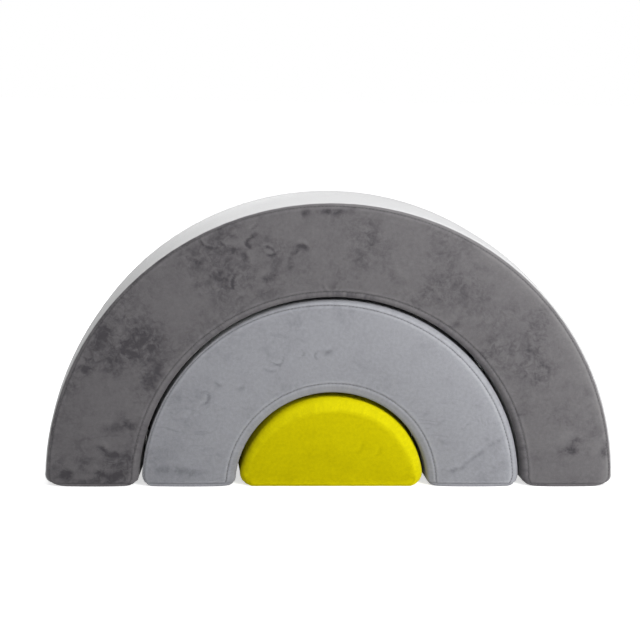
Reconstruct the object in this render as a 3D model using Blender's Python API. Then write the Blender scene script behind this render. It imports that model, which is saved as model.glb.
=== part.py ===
"""Soft play arches that nest: an outer arch, a middle arch and a half round.

Each block is firm foam in a sewn velvet cover, with a zip across its back. Sizes are in
metres. The blocks stand on z = 0 with their common axis along Y through the origin, and
the side without zips faces -Y.
"""

import math

import bmesh
import bpy
from mathutils import Vector

# Blocks
DEPTH = 0.250
OUTER_ARCH_RADIUS = 0.600
OUTER_ARCH_WALL = 0.198
MIDDLE_ARCH_WALL = 0.197
ARCH_CLEARANCE = 0.005
HALF_ROUND_CLEARANCE = 0.006

# Padding: how far the cover stands out between its seams
FACE_CROWN = 0.006
BAND_CROWN = 0.0025
CROWN_POWER = 2.5

# Rounded edges of the foam under the cover, from band to face
OUTER_ARCH_OUTER_EDGE = 0.008
OUTER_ARCH_INNER_EDGE = 0.0125
MIDDLE_ARCH_OUTER_EDGE = 0.009
MIDDLE_ARCH_INNER_EDGE = 0.0175
HALF_ROUND_EDGE = 0.0225
HALF_ROUND_CORNER = 0.028
FOOT_CORNER = 0.024
FOOT_EDGE = 0.008
FOOT_SEAM_HEIGHT = 0.0085

# Cloth
FABRIC = 0.0015
PIECE_GAP = 0.0003

# Zip
ZIP_SEAM_MARGIN = 0.002
ZIP_END_ANGLE = math.radians(15)
HALF_ROUND_ZIP_RISE = 0.006
HALF_ROUND_ZIP_END_MARGIN = 0.043
TAPE_WIDTH = 0.014
TAPE_THICKNESS = 0.0007
TAPE_SPLIT = 0.0022
TAPE_END_TUCK = 0.008
COIL_WIDTH = 0.006
COIL_HEIGHT = 0.0022
GROOVE_CLEARANCE = 0.002

# Zip slider and its pull
SLIDER_LENGTH = 0.014
SLIDER_TOP_PLATE = 0.0012
SLIDER_LOWER_PLATE = 0.0010
SLIDER_FLANGE = 0.0009
SLIDER_FLARE = 0.0014
SLIDER_CHAMFER = 0.0018
SLIDER_POST_LENGTH = 0.0030
SLIDER_END_MARGIN = 0.002
RUNNING_CLEARANCE = 0.0003
SIDE_CLEARANCE = 0.0005
SLOT_CLEARANCE = 0.0014
BAIL_THICKNESS = 0.0010
BAIL_WIDTH = 0.0026
BAIL_LIP = 0.0001
BAIL_END_PLAY = 0.0014
BAR_CLEARANCE = 0.0004
PULL_WIDTH = 0.0080
PULL_LENGTH = 0.0260
PULL_THICKNESS = 0.0011
PULL_SHOULDER = 0.0020
PULL_HOLE_PLAY = 0.0008

# How finely curves are divided
FACE_STEPS = 3
EDGE_STEPS = 2
BAND_STEPS = 2
ZIP_SPAN_STEPS = 20
TAPE_STEPS = 40
CORNER_STEPS = 2
SIDE_CORNER_STEPS = 2
HALF_ROUND_ARC_STEPS = 20
HALF_ROUND_BASE_STEPS = 6
FACE_RINGS = (1.0, 0.72, 0.40, 0.12)
FACE_MIDDLE = 0.42

# Depth of the layers at a seam or zip, from the block's middle plane outwards
SEAM_PLANE = DEPTH / 2 - FACE_CROWN
CORE_INSET = FABRIC + PIECE_GAP
TAPE_TOP = SEAM_PLANE - CORE_INSET
TAPE_BOTTOM = TAPE_TOP - TAPE_THICKNESS
COIL_BOTTOM = TAPE_TOP + PIECE_GAP
COIL_TOP = COIL_BOTTOM + COIL_HEIGHT
SLIDER_PLATE_UNDERSIDE = COIL_TOP + RUNNING_CLEARANCE
SLIDER_PLATE_TOP = SLIDER_PLATE_UNDERSIDE + SLIDER_TOP_PLATE
SLIDER_LOWER_TOP = TAPE_BOTTOM - RUNNING_CLEARANCE
SLIDER_LOWEST = SLIDER_LOWER_TOP - SLIDER_LOWER_PLATE
GROOVE_BOTTOM = SLIDER_LOWEST - PIECE_GAP

# Widths across the zip, from its line
SLIDER_NARROW_WIDTH = COIL_WIDTH + 2 * (SIDE_CLEARANCE + SLIDER_FLANGE)
SLIDER_WIDTH = SLIDER_NARROW_WIDTH + SLIDER_FLARE
SLIDER_POST_WIDTH = TAPE_SPLIT - 2 * SIDE_CLEARANCE
SLOT_REACH = SLIDER_WIDTH / 2 + SLOT_CLEARANCE
TAPE_REACH = TAPE_SPLIT / 2 + TAPE_WIDTH
GROOVE_REACH = TAPE_REACH + GROOVE_CLEARANCE
FLAT_REACH = GROOVE_REACH + PIECE_GAP
END_REACH = TAPE_END_TUCK + GROOVE_CLEARANCE

# The pull's square bar turns inside the slider's bail
BAR_TURNING_RADIUS = PULL_THICKNESS * math.sqrt(0.5)
PIVOT_HEIGHT = BAR_TURNING_RADIUS + BAR_CLEARANCE
BAIL_OPENING_HEIGHT = 2 * PIVOT_HEIGHT
BAIL_INNER_REACH = BAR_TURNING_RADIUS + BAIL_END_PLAY
BAIL_REACH = BAIL_INNER_REACH + BAIL_THICKNESS
BAIL_TURNING_RADIUS = math.hypot(BAIL_REACH + BAIL_LIP, PIVOT_HEIGHT + BAIL_THICKNESS)
PULL_HOLE_WIDTH = BAIL_WIDTH + 2 * (BAIL_LIP + PULL_HOLE_PLAY)
PULL_HOLE_END = BAIL_TURNING_RADIUS + PULL_HOLE_PLAY


def material(name, colour, roughness, metallic=0.0):
    """A plain Principled material."""
    made = bpy.data.materials.new(name)
    made.use_nodes = True
    shader = made.node_tree.nodes["Principled BSDF"]
    shader.inputs["Base Color"].default_value = (*colour, 1)
    shader.inputs["Roughness"].default_value = roughness
    shader.inputs["Metallic"].default_value = metallic
    return made


def bulge(u):
    """The height of a padded face between two seams: 0 at u = 0 and u = 1, and 1 halfway."""
    return 1 - abs(2 * u - 1) ** CROWN_POWER


def steps(start, end, count):
    """count + 1 evenly spaced values from start to end."""
    return [start + (end - start) * k / count for k in range(count + 1)]


def rounded_edge(centre, depth, radius, outwards, side):
    """Points of a quarter circle from a face's seam (side -1 front, 1 back) round to the band.

    They are (radius, depth) pairs, and outwards is 1 where the band is the larger radius.
    """
    return [
        (centre + outwards * radius * math.sin(turn), side * (depth + radius * math.cos(turn)))
        for turn in steps(0, math.pi / 2, EDGE_STEPS)
    ]


def mesh_object(name, mesh, finish, parent):
    """An object for one node, with its material, held by its block's empty."""
    mesh.materials.append(finish)
    made = bpy.data.objects.new(name, mesh)
    bpy.context.scene.collection.objects.link(made)
    made.parent = parent
    return made


def empty(name, parent=None, location=(0, 0, 0), angle_about_y=0.0):
    """A point that carries pieces, for instance on a joint's axis."""
    made = bpy.data.objects.new(name, None)
    made.location = location
    made.rotation_euler = (0, angle_about_y, 0)
    made.parent = parent
    bpy.context.scene.collection.objects.link(made)
    return made


def finished_mesh(name, bm, smooth_degrees=40):
    """The mesh of a closed bmesh, its faces turned outwards and its round parts smooth."""
    bmesh.ops.recalc_face_normals(bm, faces=bm.faces)
    mesh = bpy.data.meshes.new(name)
    bm.to_mesh(mesh)
    bm.free()
    mesh.shade_smooth()
    mesh.set_sharp_from_angle(angle=math.radians(smooth_degrees))
    return mesh


def add_points(bm, rows):
    """Vertices of a grid of points, row by row."""
    return [[bm.verts.new(point) for point in row] for row in rows]


def add_sheet(bm, rows, closed=False):
    """Faces between the neighbouring rows of a grid of vertices."""
    for low, high in zip(rows, rows[1:]):
        last = len(low) if closed else len(low) - 1
        for k in range(last):
            after = (k + 1) % len(low)
            bm.faces.new((low[k], low[after], high[after], high[k]))


def drawn_in(points, neighbours):
    """Edge points moved half a gap towards their neighbours, so that sewn panels don't touch."""
    return [p + (q - p).normalized() * PIECE_GAP / 2 for p, q in zip(points, neighbours)]


def panel_grid(rows):
    """A grid of points with all four edges drawn in by half a gap."""
    rows = [list(row) for row in rows]
    rows[0] = drawn_in(rows[0], rows[1])
    rows[-1] = drawn_in(rows[-1], rows[-2])
    for row in rows:
        row[0] = drawn_in(row[:1], row[1:2])[0]
        row[-1] = drawn_in(row[-1:], row[-2:-1])[0]
    return rows


def panel_mesh(name, outside, inside):
    """A panel of cloth: two grids of points, its outside and its inside, joined round the edge."""
    bm = bmesh.new()
    outer = add_points(bm, panel_grid(outside))
    inner = add_points(bm, panel_grid(inside))
    add_sheet(bm, outer)
    add_sheet(bm, inner)
    for rim in (0, -1):
        add_sheet(bm, [outer[rim], inner[rim]])
        add_sheet(bm, [[row[rim] for row in outer], [row[rim] for row in inner]])
    return finished_mesh(name, bm)


def cup_mesh(name, outside, inside):
    """A panel with closed rings from its rim to its middle, such as the cloth under a foot."""
    bm = bmesh.new()
    shells = []
    for rings in (outside, inside):
        rings = [drawn_in(rings[0], rings[1]), *rings[1:]]
        shell = add_points(bm, rings)
        add_sheet(bm, shell, closed=True)
        bm.faces.new(shell[-1])
        shells.append(shell)
    add_sheet(bm, [shells[0][0], shells[1][0]], closed=True)
    return finished_mesh(name, bm)


def loft_mesh(name, rings):
    """A solid through closed rings of points, flat at both ends."""
    bm = bmesh.new()
    rows = add_points(bm, rings)
    add_sheet(bm, rows, closed=True)
    bm.faces.new(rows[0])
    bm.faces.new(rows[-1])
    return finished_mesh(name, bm)


def prism_mesh(name, outline, low, high):
    """An outline in local X and Z, extruded along Y."""
    return loft_mesh(name, [[Vector((x, y, z)) for x, z in outline] for y in (low, high)])


def box_mesh(name, x_range, y_range, z_range):
    """A box between two corners."""
    (x0, x1), (z0, z1) = x_range, z_range
    return prism_mesh(name, [(x0, z0), (x1, z0), (x1, z1), (x0, z1)], *y_range)


def helper(mesh):
    """An object that only cuts or joins, and isn't a node."""
    made = bpy.data.objects.new(mesh.name, mesh)
    bpy.context.scene.collection.objects.link(made)
    made.hide_render = True
    made.display_type = "WIRE"
    return made


def combined_mesh(name, base, others, operation):
    """The base mesh with others joined to it or cut from it."""
    first = helper(base)
    for other in others:
        change = first.modifiers.new(other.name, "BOOLEAN")
        change.operation = operation
        change.object = helper(other)
    bpy.context.view_layer.update()
    made = bpy.data.meshes.new_from_object(first.evaluated_get(bpy.context.evaluated_depsgraph_get()))
    made.name = name
    return made


class Arch:
    """An arch block: a rounded section carried over half a circle, with a flat foot at each end."""

    def __init__(self, outer_radius, wall, outer_edge, inner_edge):
        self.outer = outer_radius
        self.inner = outer_radius - wall
        self.half_wall = wall / 2
        self.middle = outer_radius - self.half_wall
        self.outer_edge = outer_edge
        self.inner_edge = inner_edge
        self.face_outer = self.outer - BAND_CROWN - outer_edge
        self.face_inner = self.inner + BAND_CROWN + inner_edge
        self.zip_radius = self.face_inner + ZIP_SEAM_MARGIN + FLAT_REACH
        self.flat_radius = self.zip_radius + FLAT_REACH
        self.closed_angle = ZIP_END_ANGLE - END_REACH / self.zip_radius
        self.foot_angle = math.asin(FOOT_CORNER / self.inner)

    def face(self, start, end, inset, side):
        """Points across a padded face, from one radius to another, on the front (-1) or back (1)."""
        return [
            (start + (end - start) * u, side * (SEAM_PLANE - inset + FACE_CROWN * bulge(u)))
            for u in steps(0, 1, FACE_STEPS)
        ]

    def band(self, centre, edge, inset, outwards):
        """Points over a band and its rounded edges, round the section from face to face."""
        depth, round_ = SEAM_PLANE - edge, edge - inset
        first = rounded_edge(centre, depth, round_, outwards, -outwards)
        last = rounded_edge(centre, depth, round_, outwards, outwards)
        middle = [
            (centre + outwards * (round_ + BAND_CROWN * bulge(u)), outwards * depth * (2 * u - 1))
            for u in steps(0, 1, BAND_STEPS)[1:-1]
        ]
        return first + middle + last[::-1]

    def back_crown(self, inset):
        """The padded part of the back, which ends where the zip's tape is sewn on."""
        return self.face(self.face_outer, self.flat_radius, inset, 1)

    def section(self, inset, slot):
        """The five panels of the section as lists of (radius, depth). slot is half the zip opening."""
        return {
            "front_panel": self.face(self.face_inner, self.face_outer, inset, -1),
            "outer_band": self.band(self.face_outer, self.outer_edge, inset, 1),
            "back_panel": self.back_crown(inset) + [(self.zip_radius + slot, SEAM_PLANE - inset)],
            "back_facing": [(self.zip_radius - slot, SEAM_PLANE - inset), (self.face_inner, SEAM_PLANE - inset)],
            "inner_band": self.band(self.face_inner, self.inner_edge, inset, -1),
        }

    def core_section(self, grooved):
        """The foam's section as one closed loop, with a groove where the zip presses into it."""
        panels = self.section(CORE_INSET, 0.0)
        level = SEAM_PLANE - CORE_INSET
        bottom = GROOVE_BOTTOM if grooved else level - PIECE_GAP
        groove = [(self.zip_radius + GROOVE_REACH, bottom), (self.zip_radius - GROOVE_REACH, bottom)]
        flat = [(self.zip_radius - FLAT_REACH, level)]
        back = self.back_crown(CORE_INSET)[1:] + groove + flat
        return panels["front_panel"] + panels["outer_band"][1:] + back + panels["inner_band"][:-1]

    def foot_planes(self, inset, side):
        """Level cross-sections from the sole up to the full section, drawn in like a rounded corner."""
        seam = math.acos(1 - FOOT_SEAM_HEIGHT / FOOT_CORNER)
        rise = steps(0, seam, CORNER_STEPS) + steps(seam, math.pi / 2, 1)[1:]
        corner, edge = FOOT_CORNER - inset, FOOT_EDGE - inset
        planes = []
        for turn in rise:
            height = FOOT_CORNER - corner * math.cos(turn)
            below = max(0.0, FOOT_EDGE - height)
            squeeze = edge - math.sqrt(max(0.0, edge**2 - below**2))
            planes.append({
                "height": height,
                "side": side,
                "across": 1 - corner * (1 - math.sin(turn)) / (self.half_wall - inset),
                "deep": 1 - squeeze / (SEAM_PLANE - inset),
                "slot": PIECE_GAP / 2,
                "grooved": False,
            })
        return planes

    def angled_planes(self):
        """Radial cross-sections between the feet: open at the zip, and closed past its ends."""
        low = [((self.foot_angle + self.closed_angle) / 2, False), (self.closed_angle, True)]
        open_angles = steps(ZIP_END_ANGLE, math.pi - ZIP_END_ANGLE, ZIP_SPAN_STEPS)
        planes = [{"angle": a, "slot": PIECE_GAP / 2, "grooved": grooved} for a, grooved in low]
        planes += [{"angle": a, "slot": SLOT_REACH, "grooved": True} for a in open_angles]
        high = [(math.pi - a, grooved) for a, grooved in reversed(low)]
        planes += [{"angle": a, "slot": PIECE_GAP / 2, "grooved": grooved} for a, grooved in high]
        return planes

    def planes(self, inset):
        """Every cross-section, from the right foot over to the left foot."""
        right = self.foot_planes(inset, 1)
        left = self.foot_planes(inset, -1)
        return right + self.angled_planes() + left[::-1]

    def place(self, plane, points):
        """A section's points set on one cross-section of the arch."""
        placed = []
        for radius, depth in points:
            if "angle" in plane:
                angle = plane["angle"]
                placed.append(Vector((radius * math.cos(angle), depth, radius * math.sin(angle))))
                continue
            radius = self.middle + (radius - self.middle) * plane["across"]
            x = plane["side"] * math.sqrt(radius**2 - plane["height"] ** 2)
            placed.append(Vector((x, depth * plane["deep"], plane["height"])))
        return placed

    def panel_rows(self, panel, inset):
        """A panel's grid of points between the two foot seams."""
        planes = self.planes(inset)[CORNER_STEPS:-CORNER_STEPS]
        return [self.place(p, self.section(inset, p["slot"])[panel]) for p in planes]

    def foot_rings(self, inset, side):
        """The closed rings of a foot's cloth, from its seam down to the sole."""
        rings = []
        for plane in self.foot_planes(inset, side)[CORNER_STEPS::-1]:
            panels = self.section(inset, 0.0)
            loop = [point for panel in panels.values() for point in panel[:-1]]
            rings.append(self.place(plane, loop))
        return rings

    def core_rings(self):
        """The foam's rings, with the zip's groove between the ends of the zip."""
        return [self.place(plane, self.core_section(plane["grooved"])) for plane in self.planes(CORE_INSET)]


class ArchZipPath:
    """The line of an arch's zip: part of a circle about the block's axis."""

    def __init__(self, radius):
        self.radius = radius
        self.start = ZIP_END_ANGLE
        self.end = math.pi - ZIP_END_ANGLE
        self.slider = self.start + (SLIDER_LENGTH / 2 + SLIDER_END_MARGIN) / radius

    def at(self, along, across):
        """The X and Z of a point beside the line. along is an angle."""
        radius = self.radius + across
        return radius * math.cos(along), radius * math.sin(along)

    def length_to_along(self, length):
        return length / self.radius

    def slider_frame(self, name, parent):
        """An empty on the block's axis, turned to the slider, and one on the zip's line."""
        axis = empty(name + "_axis", parent, angle_about_y=-self.slider)
        return empty(name + "_seat", axis, location=(self.radius, 0, 0))


class StraightZipPath:
    """The line of the half round's zip: level, across its back."""

    def __init__(self, height, half_length):
        self.height = height
        self.start = -half_length
        self.end = half_length
        self.slider = self.start + SLIDER_LENGTH / 2 + SLIDER_END_MARGIN

    def at(self, along, across):
        """The X and Z of a point beside the line. along runs towards -X."""
        return -along, self.height + across

    def length_to_along(self, length):
        return length

    def slider_frame(self, name, parent):
        return empty(name + "_seat", parent, location=(-self.slider, 0, self.height), angle_about_y=-math.pi / 2)


def strip_mesh(name, path, across, depths, along, count):
    """A strip of rectangular section that follows a zip's line."""
    (near, far), (low, high) = across, depths
    rings = []
    for position in steps(*along, count):
        inner, outer = path.at(position, near), path.at(position, far)
        rings.append([
            Vector((inner[0], low, inner[1])),
            Vector((outer[0], low, outer[1])),
            Vector((outer[0], high, outer[1])),
            Vector((inner[0], high, inner[1])),
        ])
    return loft_mesh(name, rings)


def slider_outline():
    """The slider's plates in local X and Z: chamfered in front and narrower behind."""
    half, narrow, end = SLIDER_WIDTH / 2, SLIDER_NARROW_WIDTH / 2, SLIDER_LENGTH / 2
    front = -end + SLIDER_CHAMFER
    right = [(half - SLIDER_CHAMFER, -end), (half, front), (half, 0), (narrow, end)]
    return right + [(-x, z) for x, z in reversed(right)]


def slider_mesh():
    """The zip slider. Local X is across the zip, Y out of the cover, and Z along it as it opens."""
    top_half = SLIDER_PLATE_TOP - SLIDER_TOP_PLATE / 2
    lower_half = SLIDER_LOWEST + SLIDER_LOWER_PLATE / 2
    post_front = -(SLIDER_LENGTH - SLIDER_CHAMFER) / 2
    post = box_mesh(
        "slider_post",
        (-SLIDER_POST_WIDTH / 2, SLIDER_POST_WIDTH / 2),
        (lower_half, top_half),
        (post_front, post_front + SLIDER_POST_LENGTH),
    )
    pieces = [prism_mesh("slider_lower", slider_outline(), SLIDER_LOWEST, SLIDER_LOWER_TOP)]
    flange_end = SLIDER_LENGTH / 2 - SLIDER_CHAMFER
    for side, label in ((-1, "left"), (1, "right")):
        edges = sorted(side * (SLIDER_NARROW_WIDTH / 2 - inwards) for inwards in (0, SLIDER_FLANGE))
        low = TAPE_TOP + RUNNING_CLEARANCE
        pieces.append(box_mesh("slider_flange_" + label, edges, (low, top_half), (-flange_end, flange_end)))
    bail_underside = SLIDER_PLATE_TOP + BAIL_OPENING_HEIGHT
    bail_top = bail_underside + BAIL_THICKNESS
    leg_top = bail_top - BAIL_THICKNESS / 2
    bail_half = BAIL_WIDTH / 2
    for side, label in ((-1, "front"), (1, "rear")):
        ends = sorted((side * BAIL_INNER_REACH, side * BAIL_REACH))
        pieces.append(box_mesh("slider_leg_" + label, (-bail_half, bail_half), (top_half, leg_top), ends))
    across, along = bail_half + BAIL_LIP, BAIL_REACH + BAIL_LIP
    pieces.append(box_mesh("slider_bridge", (-across, across), (bail_underside, bail_top), (-along, along)))
    top = prism_mesh("slider_top", slider_outline(), SLIDER_PLATE_UNDERSIDE, SLIDER_PLATE_TOP)
    return combined_mesh("zip_slider", top, [post, *pieces], "UNION")


def pull_mesh():
    """The pull, hanging towards -Z from its bar, which lies on the joint's axis, local X."""
    half, thick = PULL_WIDTH / 2, PULL_THICKNESS / 2
    far, shoulder = thick - PULL_LENGTH, PULL_SHOULDER
    right = [(half - shoulder, thick), (half, thick - shoulder), (half, far + shoulder), (half - shoulder, far)]
    outline = right + [(-x, z) for x, z in reversed(right)]
    plate = prism_mesh("pull_plate", outline, -thick, thick)
    hole_half = PULL_HOLE_WIDTH / 2
    hole = box_mesh("pull_hole", (-hole_half, hole_half), (-2 * thick, 2 * thick), (-PULL_HOLE_END, -thick))
    return combined_mesh("zip_pull", plate, [hole], "DIFFERENCE")


def add_zip(block, path, parent, colours, shared):
    """A block's two zip tapes, their coils, the slider and its pull."""
    tuck = path.length_to_along(TAPE_END_TUCK)
    taped = (path.start - tuck, path.end + tuck)
    coiled = (path.slider, path.end)
    split, coil_half = TAPE_SPLIT / 2, COIL_WIDTH / 2
    for side, label in ((1, "upper"), (-1, "lower")):
        across = sorted((side * split, side * TAPE_REACH))
        name = f"{block}_zip_tape_{label}"
        tape = strip_mesh(name, path, across, (TAPE_BOTTOM, TAPE_TOP), taped, TAPE_STEPS)
        mesh_object(name, tape, colours["tape"], parent)
        across = sorted((side * PIECE_GAP / 2, side * coil_half))
        name = f"{block}_zip_coil_{label}"
        coil = strip_mesh(name, path, across, (COIL_BOTTOM, COIL_TOP), coiled, TAPE_STEPS)
        mesh_object(name, coil, colours["coil"], parent)
    seat = path.slider_frame(block + "_zip_slider", parent)
    mesh_object(block + "_zip_slider", shared["slider"].copy(), colours["metal"], seat)
    pull = mesh_object(block + "_zip_pull", shared["pull"].copy(), colours["metal"], seat)
    pull.location = (0, SLIDER_PLATE_TOP + PIVOT_HEIGHT, 0)


def add_arch(block, arch, parent, colours, shared):
    """An arch's foam, its cover panels and its zip."""
    mesh_object(block + "_foam_core", loft_mesh(block + "_foam_core", arch.core_rings()), colours["foam"], parent)
    for panel in arch.section(0.0, 0.0):
        name = f"{block}_{panel}"
        cloth = panel_mesh(name, arch.panel_rows(panel, 0.0), arch.panel_rows(panel, FABRIC))
        mesh_object(name, cloth, colours["cloth"], parent)
    for side, label in ((-1, "left"), (1, "right")):
        name = f"{block}_{label}_foot"
        cloth = cup_mesh(name, arch.foot_rings(0.0, side), arch.foot_rings(FABRIC, side))
        mesh_object(name, cloth, colours["cloth"], parent)
    add_zip(block, ArchZipPath(arch.zip_radius), parent, colours, shared)


class HalfRound:
    """The solid half round: an outline with rounded lower corners, carried from front to back.

    A point of the outline is its place, its outward direction and its share of the band's
    rounding: 0 on the base, 1 on the arc.
    """

    def __init__(self, radius):
        self.radius = radius - BAND_CROWN
        reach = self.radius - HALF_ROUND_CORNER
        self.corner_x = math.sqrt(reach**2 - HALF_ROUND_CORNER**2)
        self.corner_angle = math.atan2(HALF_ROUND_CORNER, self.corner_x)
        self.corner_top = math.pi / 2 + self.corner_angle
        seam_radius = self.radius - HALF_ROUND_EDGE
        corner_height = seam_radius * math.sin(self.corner_angle)
        self.zip_height = max(corner_height, FOOT_EDGE + FLAT_REACH) + HALF_ROUND_ZIP_RISE
        zip_angle = math.asin(self.zip_height / seam_radius)
        self.zip_half_length = seam_radius * math.cos(zip_angle) - HALF_ROUND_ZIP_END_MARGIN
        arc = [self.arc_point(a) for a in steps(zip_angle, math.pi - zip_angle, HALF_ROUND_ARC_STEPS)]
        self.points = arc + self.left_corner() + self.base_points() + self.right_corner()

    def arc_point(self, angle):
        out = Vector((math.cos(angle), 0, math.sin(angle)))
        return out * self.radius, out, 1.0

    def corner_point(self, side, turn):
        """A point of a rounded lower corner, turned up from straight down."""
        out = Vector((side * math.sin(turn), 0, -math.cos(turn)))
        centre = Vector((side * self.corner_x, 0, HALF_ROUND_CORNER))
        return centre + out * HALF_ROUND_CORNER, out, turn / self.corner_top

    def corner_turns(self):
        """Turns from straight down up to the band's seam, and on to the top of a lower corner."""
        seam = math.acos(1 - FOOT_SEAM_HEIGHT / HALF_ROUND_CORNER)
        return steps(0, seam, CORNER_STEPS), steps(seam, self.corner_top, SIDE_CORNER_STEPS)

    def left_corner(self):
        """The corner from the band down to its seam with the base."""
        return [self.corner_point(-1, turn) for turn in reversed(self.corner_turns()[1])]

    def right_corner(self):
        return [self.corner_point(1, turn) for turn in self.corner_turns()[1]]

    def base_points(self):
        """The base between its two seams with the band."""
        sole_turns = self.corner_turns()[0]
        left = [self.corner_point(-1, turn) for turn in reversed(sole_turns[:-1])]
        right = [self.corner_point(1, turn) for turn in sole_turns[:-1]]
        xs = steps(-self.corner_x, self.corner_x, HALF_ROUND_BASE_STEPS)[1:-1]
        flat = [(Vector((x, 0, 0)), Vector((0, 0, -1)), 0.0) for x in xs]
        return left + flat + right

    def base_span(self):
        """Where the base starts and ends in the outline, seams included."""
        start = HALF_ROUND_ARC_STEPS + 1 + SIDE_CORNER_STEPS
        return start, start + len(self.base_points()) + 1

    def edge(self, share):
        """The radius of the rounded edge between face and band or base."""
        return FOOT_EDGE + (HALF_ROUND_EDGE - FOOT_EDGE) * share

    def edge_ring(self, inset, turn, side):
        """One ring of a rounded edge: turn 0 is the face's seam and a quarter turn the band."""
        ring = []
        for place, out, share in self.points:
            edge = self.edge(share)
            y = side * (SEAM_PLANE - edge + (edge - inset) * math.cos(turn))
            ring.append(place + out * ((edge - inset) * math.sin(turn) - edge) + Vector((0, y, 0)))
        return ring

    def depth_rings(self, inset):
        """Rings over the band and base, from the front seam to the back seam."""
        turns = steps(0, math.pi / 2, EDGE_STEPS)
        front = [self.edge_ring(inset, turn, -1) for turn in turns]
        back = [self.edge_ring(inset, turn, 1) for turn in reversed(turns)]
        middle = []
        for u in steps(0, 1, BAND_STEPS)[1:-1]:
            ring = []
            for place, out, share in self.points:
                y = (SEAM_PLANE - self.edge(share)) * (2 * u - 1)
                ring.append(place + out * (BAND_CROWN * bulge(u) * share - inset) + Vector((0, y, 0)))
            middle.append(ring)
        return front + middle + back

    def band_rows(self, inset):
        """The band's grid, from its right seam with the base over to its left one."""
        start, end = self.base_span()
        return [ring[end:] + ring[: start + 1] for ring in self.depth_rings(inset)]

    def base_rows(self, inset):
        start, end = self.base_span()
        return [ring[start : end + 1] for ring in self.depth_rings(inset)]

    def front_rings(self, inset):
        """Rings of the padded front, from its seam to a small ring round its middle."""
        middle = Vector((0, inset - SEAM_PLANE, self.radius * FACE_MIDDLE))
        rings = []
        for share in FACE_RINGS:
            lift = Vector((0, -FACE_CROWN * bulge((1 - share) / 2), 0))
            ring = [middle + (p - middle) * share + lift for p in self.edge_ring(inset, 0, -1)]
            rings.append(ring)
        return rings

    def zip_line(self, inset, slot, side):
        """Points along the zip from right to left, above (1) or below (-1) the opening."""
        level = SEAM_PLANE - inset
        ends = self.zip_half_length
        inner = [(x, slot) for x in steps(ends, -ends, HALF_ROUND_BASE_STEPS)]
        closed = min(slot, PIECE_GAP / 2)
        line = [(ends + END_REACH, closed), *inner, (-ends - END_REACH, closed)]
        return [Vector((x, level, self.zip_height + side * half)) for x, half in line]

    def patch(self, bottom, start, top, end, crown):
        """A grid between four edges that meet at their ends, with its middle lifted."""
        rows = []
        for i, v in enumerate(steps(0, 1, len(start) - 1)):
            row = []
            for j, u in enumerate(steps(0, 1, len(bottom) - 1)):
                across = start[i].lerp(end[i], u) + bottom[j].lerp(top[j], v)
                corners = bottom[0].lerp(bottom[-1], u).lerp(top[0].lerp(top[-1], u), v)
                row.append(across - corners + Vector((0, crown * bulge(u) * bulge(v), 0)))
            rows.append(row)
        return rows

    def back_rows(self, inset, slot):
        """The grid of the back panel, with its columns from right to left.

        It is flat from the zip up to the second row, which clears the zip's tape.
        """
        seam = self.edge_ring(inset, 0, 1)[: HALF_ROUND_ARC_STEPS + 1]
        side = (HALF_ROUND_ARC_STEPS - HALF_ROUND_BASE_STEPS - 4) // 2
        right, top, left = seam[: side + 1], seam[side:-side], seam[: -side - 2 : -1]
        lift = Vector((0, 0, PIECE_GAP / 2)) if slot else Vector()
        opening = [right[0] + lift, *self.zip_line(inset, slot, 1), left[0] + lift]
        level = [Vector((point.x, point.y, right[1].z)) for point in opening[1:-1]]
        crown = self.patch([right[1], *level, left[1]], right[1:], top, left[1:], FACE_CROWN)
        return [opening, *crown]

    def facing_rows(self, inset, slot):
        """The grid of the strip of the back below the zip."""
        ring = self.edge_ring(inset, 0, 1)
        start, end = self.base_span()
        base = ring[start : end + 1][::-1]
        right = ring[end:] + ring[:1]
        left = ring[HALF_ROUND_ARC_STEPS : start + 1][::-1]
        drop = Vector((0, 0, PIECE_GAP / 2)) if slot else Vector()
        right = [*right[:-1], right[-1] - drop]
        left = [*left[:-1], left[-1] - drop]
        top = [right[-1], *self.zip_line(inset, slot, -1), left[-1]]
        return self.patch(base, right, top, left, 0.0)

    def core_mesh(self):
        """The foam: its rings with the front closed and the back in two grids."""
        bm = bmesh.new()
        front = add_points(bm, self.front_rings(CORE_INSET))
        add_sheet(bm, front, closed=True)
        bm.faces.new(front[-1])
        add_sheet(bm, add_points(bm, self.depth_rings(CORE_INSET)), closed=True)
        add_sheet(bm, add_points(bm, self.back_rows(CORE_INSET, 0.0)))
        add_sheet(bm, add_points(bm, self.facing_rows(CORE_INSET, 0.0)))
        bmesh.ops.remove_doubles(bm, verts=bm.verts, dist=0.00005)
        return finished_mesh("half_round_foam", bm)


def add_half_round(block, shape, parent, colours, shared):
    """The half round's foam, its cover panels and its zip."""
    ends = shape.zip_half_length + END_REACH
    edges = (shape.zip_height - GROOVE_REACH, shape.zip_height + GROOVE_REACH)
    groove = box_mesh("zip_groove", (-ends, ends), (GROOVE_BOTTOM, DEPTH), edges)
    name = block + "_foam_core"
    mesh_object(name, combined_mesh(name, shape.core_mesh(), [groove], "DIFFERENCE"), colours["foam"], parent)
    name = block + "_front_panel"
    front = cup_mesh(name, shape.front_rings(0.0), shape.front_rings(FABRIC))
    mesh_object(name, front, colours["cloth"], parent)
    sheets = {
        "back_panel": (shape.back_rows(0.0, SLOT_REACH), shape.back_rows(FABRIC, SLOT_REACH)),
        "back_facing": (shape.facing_rows(0.0, SLOT_REACH), shape.facing_rows(FABRIC, SLOT_REACH)),
        "band": (shape.band_rows(0.0), shape.band_rows(FABRIC)),
        "base": (shape.base_rows(0.0), shape.base_rows(FABRIC)),
    }
    for panel, (outside, inside) in sheets.items():
        name = f"{block}_{panel}"
        mesh_object(name, panel_mesh(name, outside, inside), colours["cloth"], parent)
    path = StraightZipPath(shape.zip_height, shape.zip_half_length)
    add_zip(block, path, parent, colours, shared)


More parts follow.
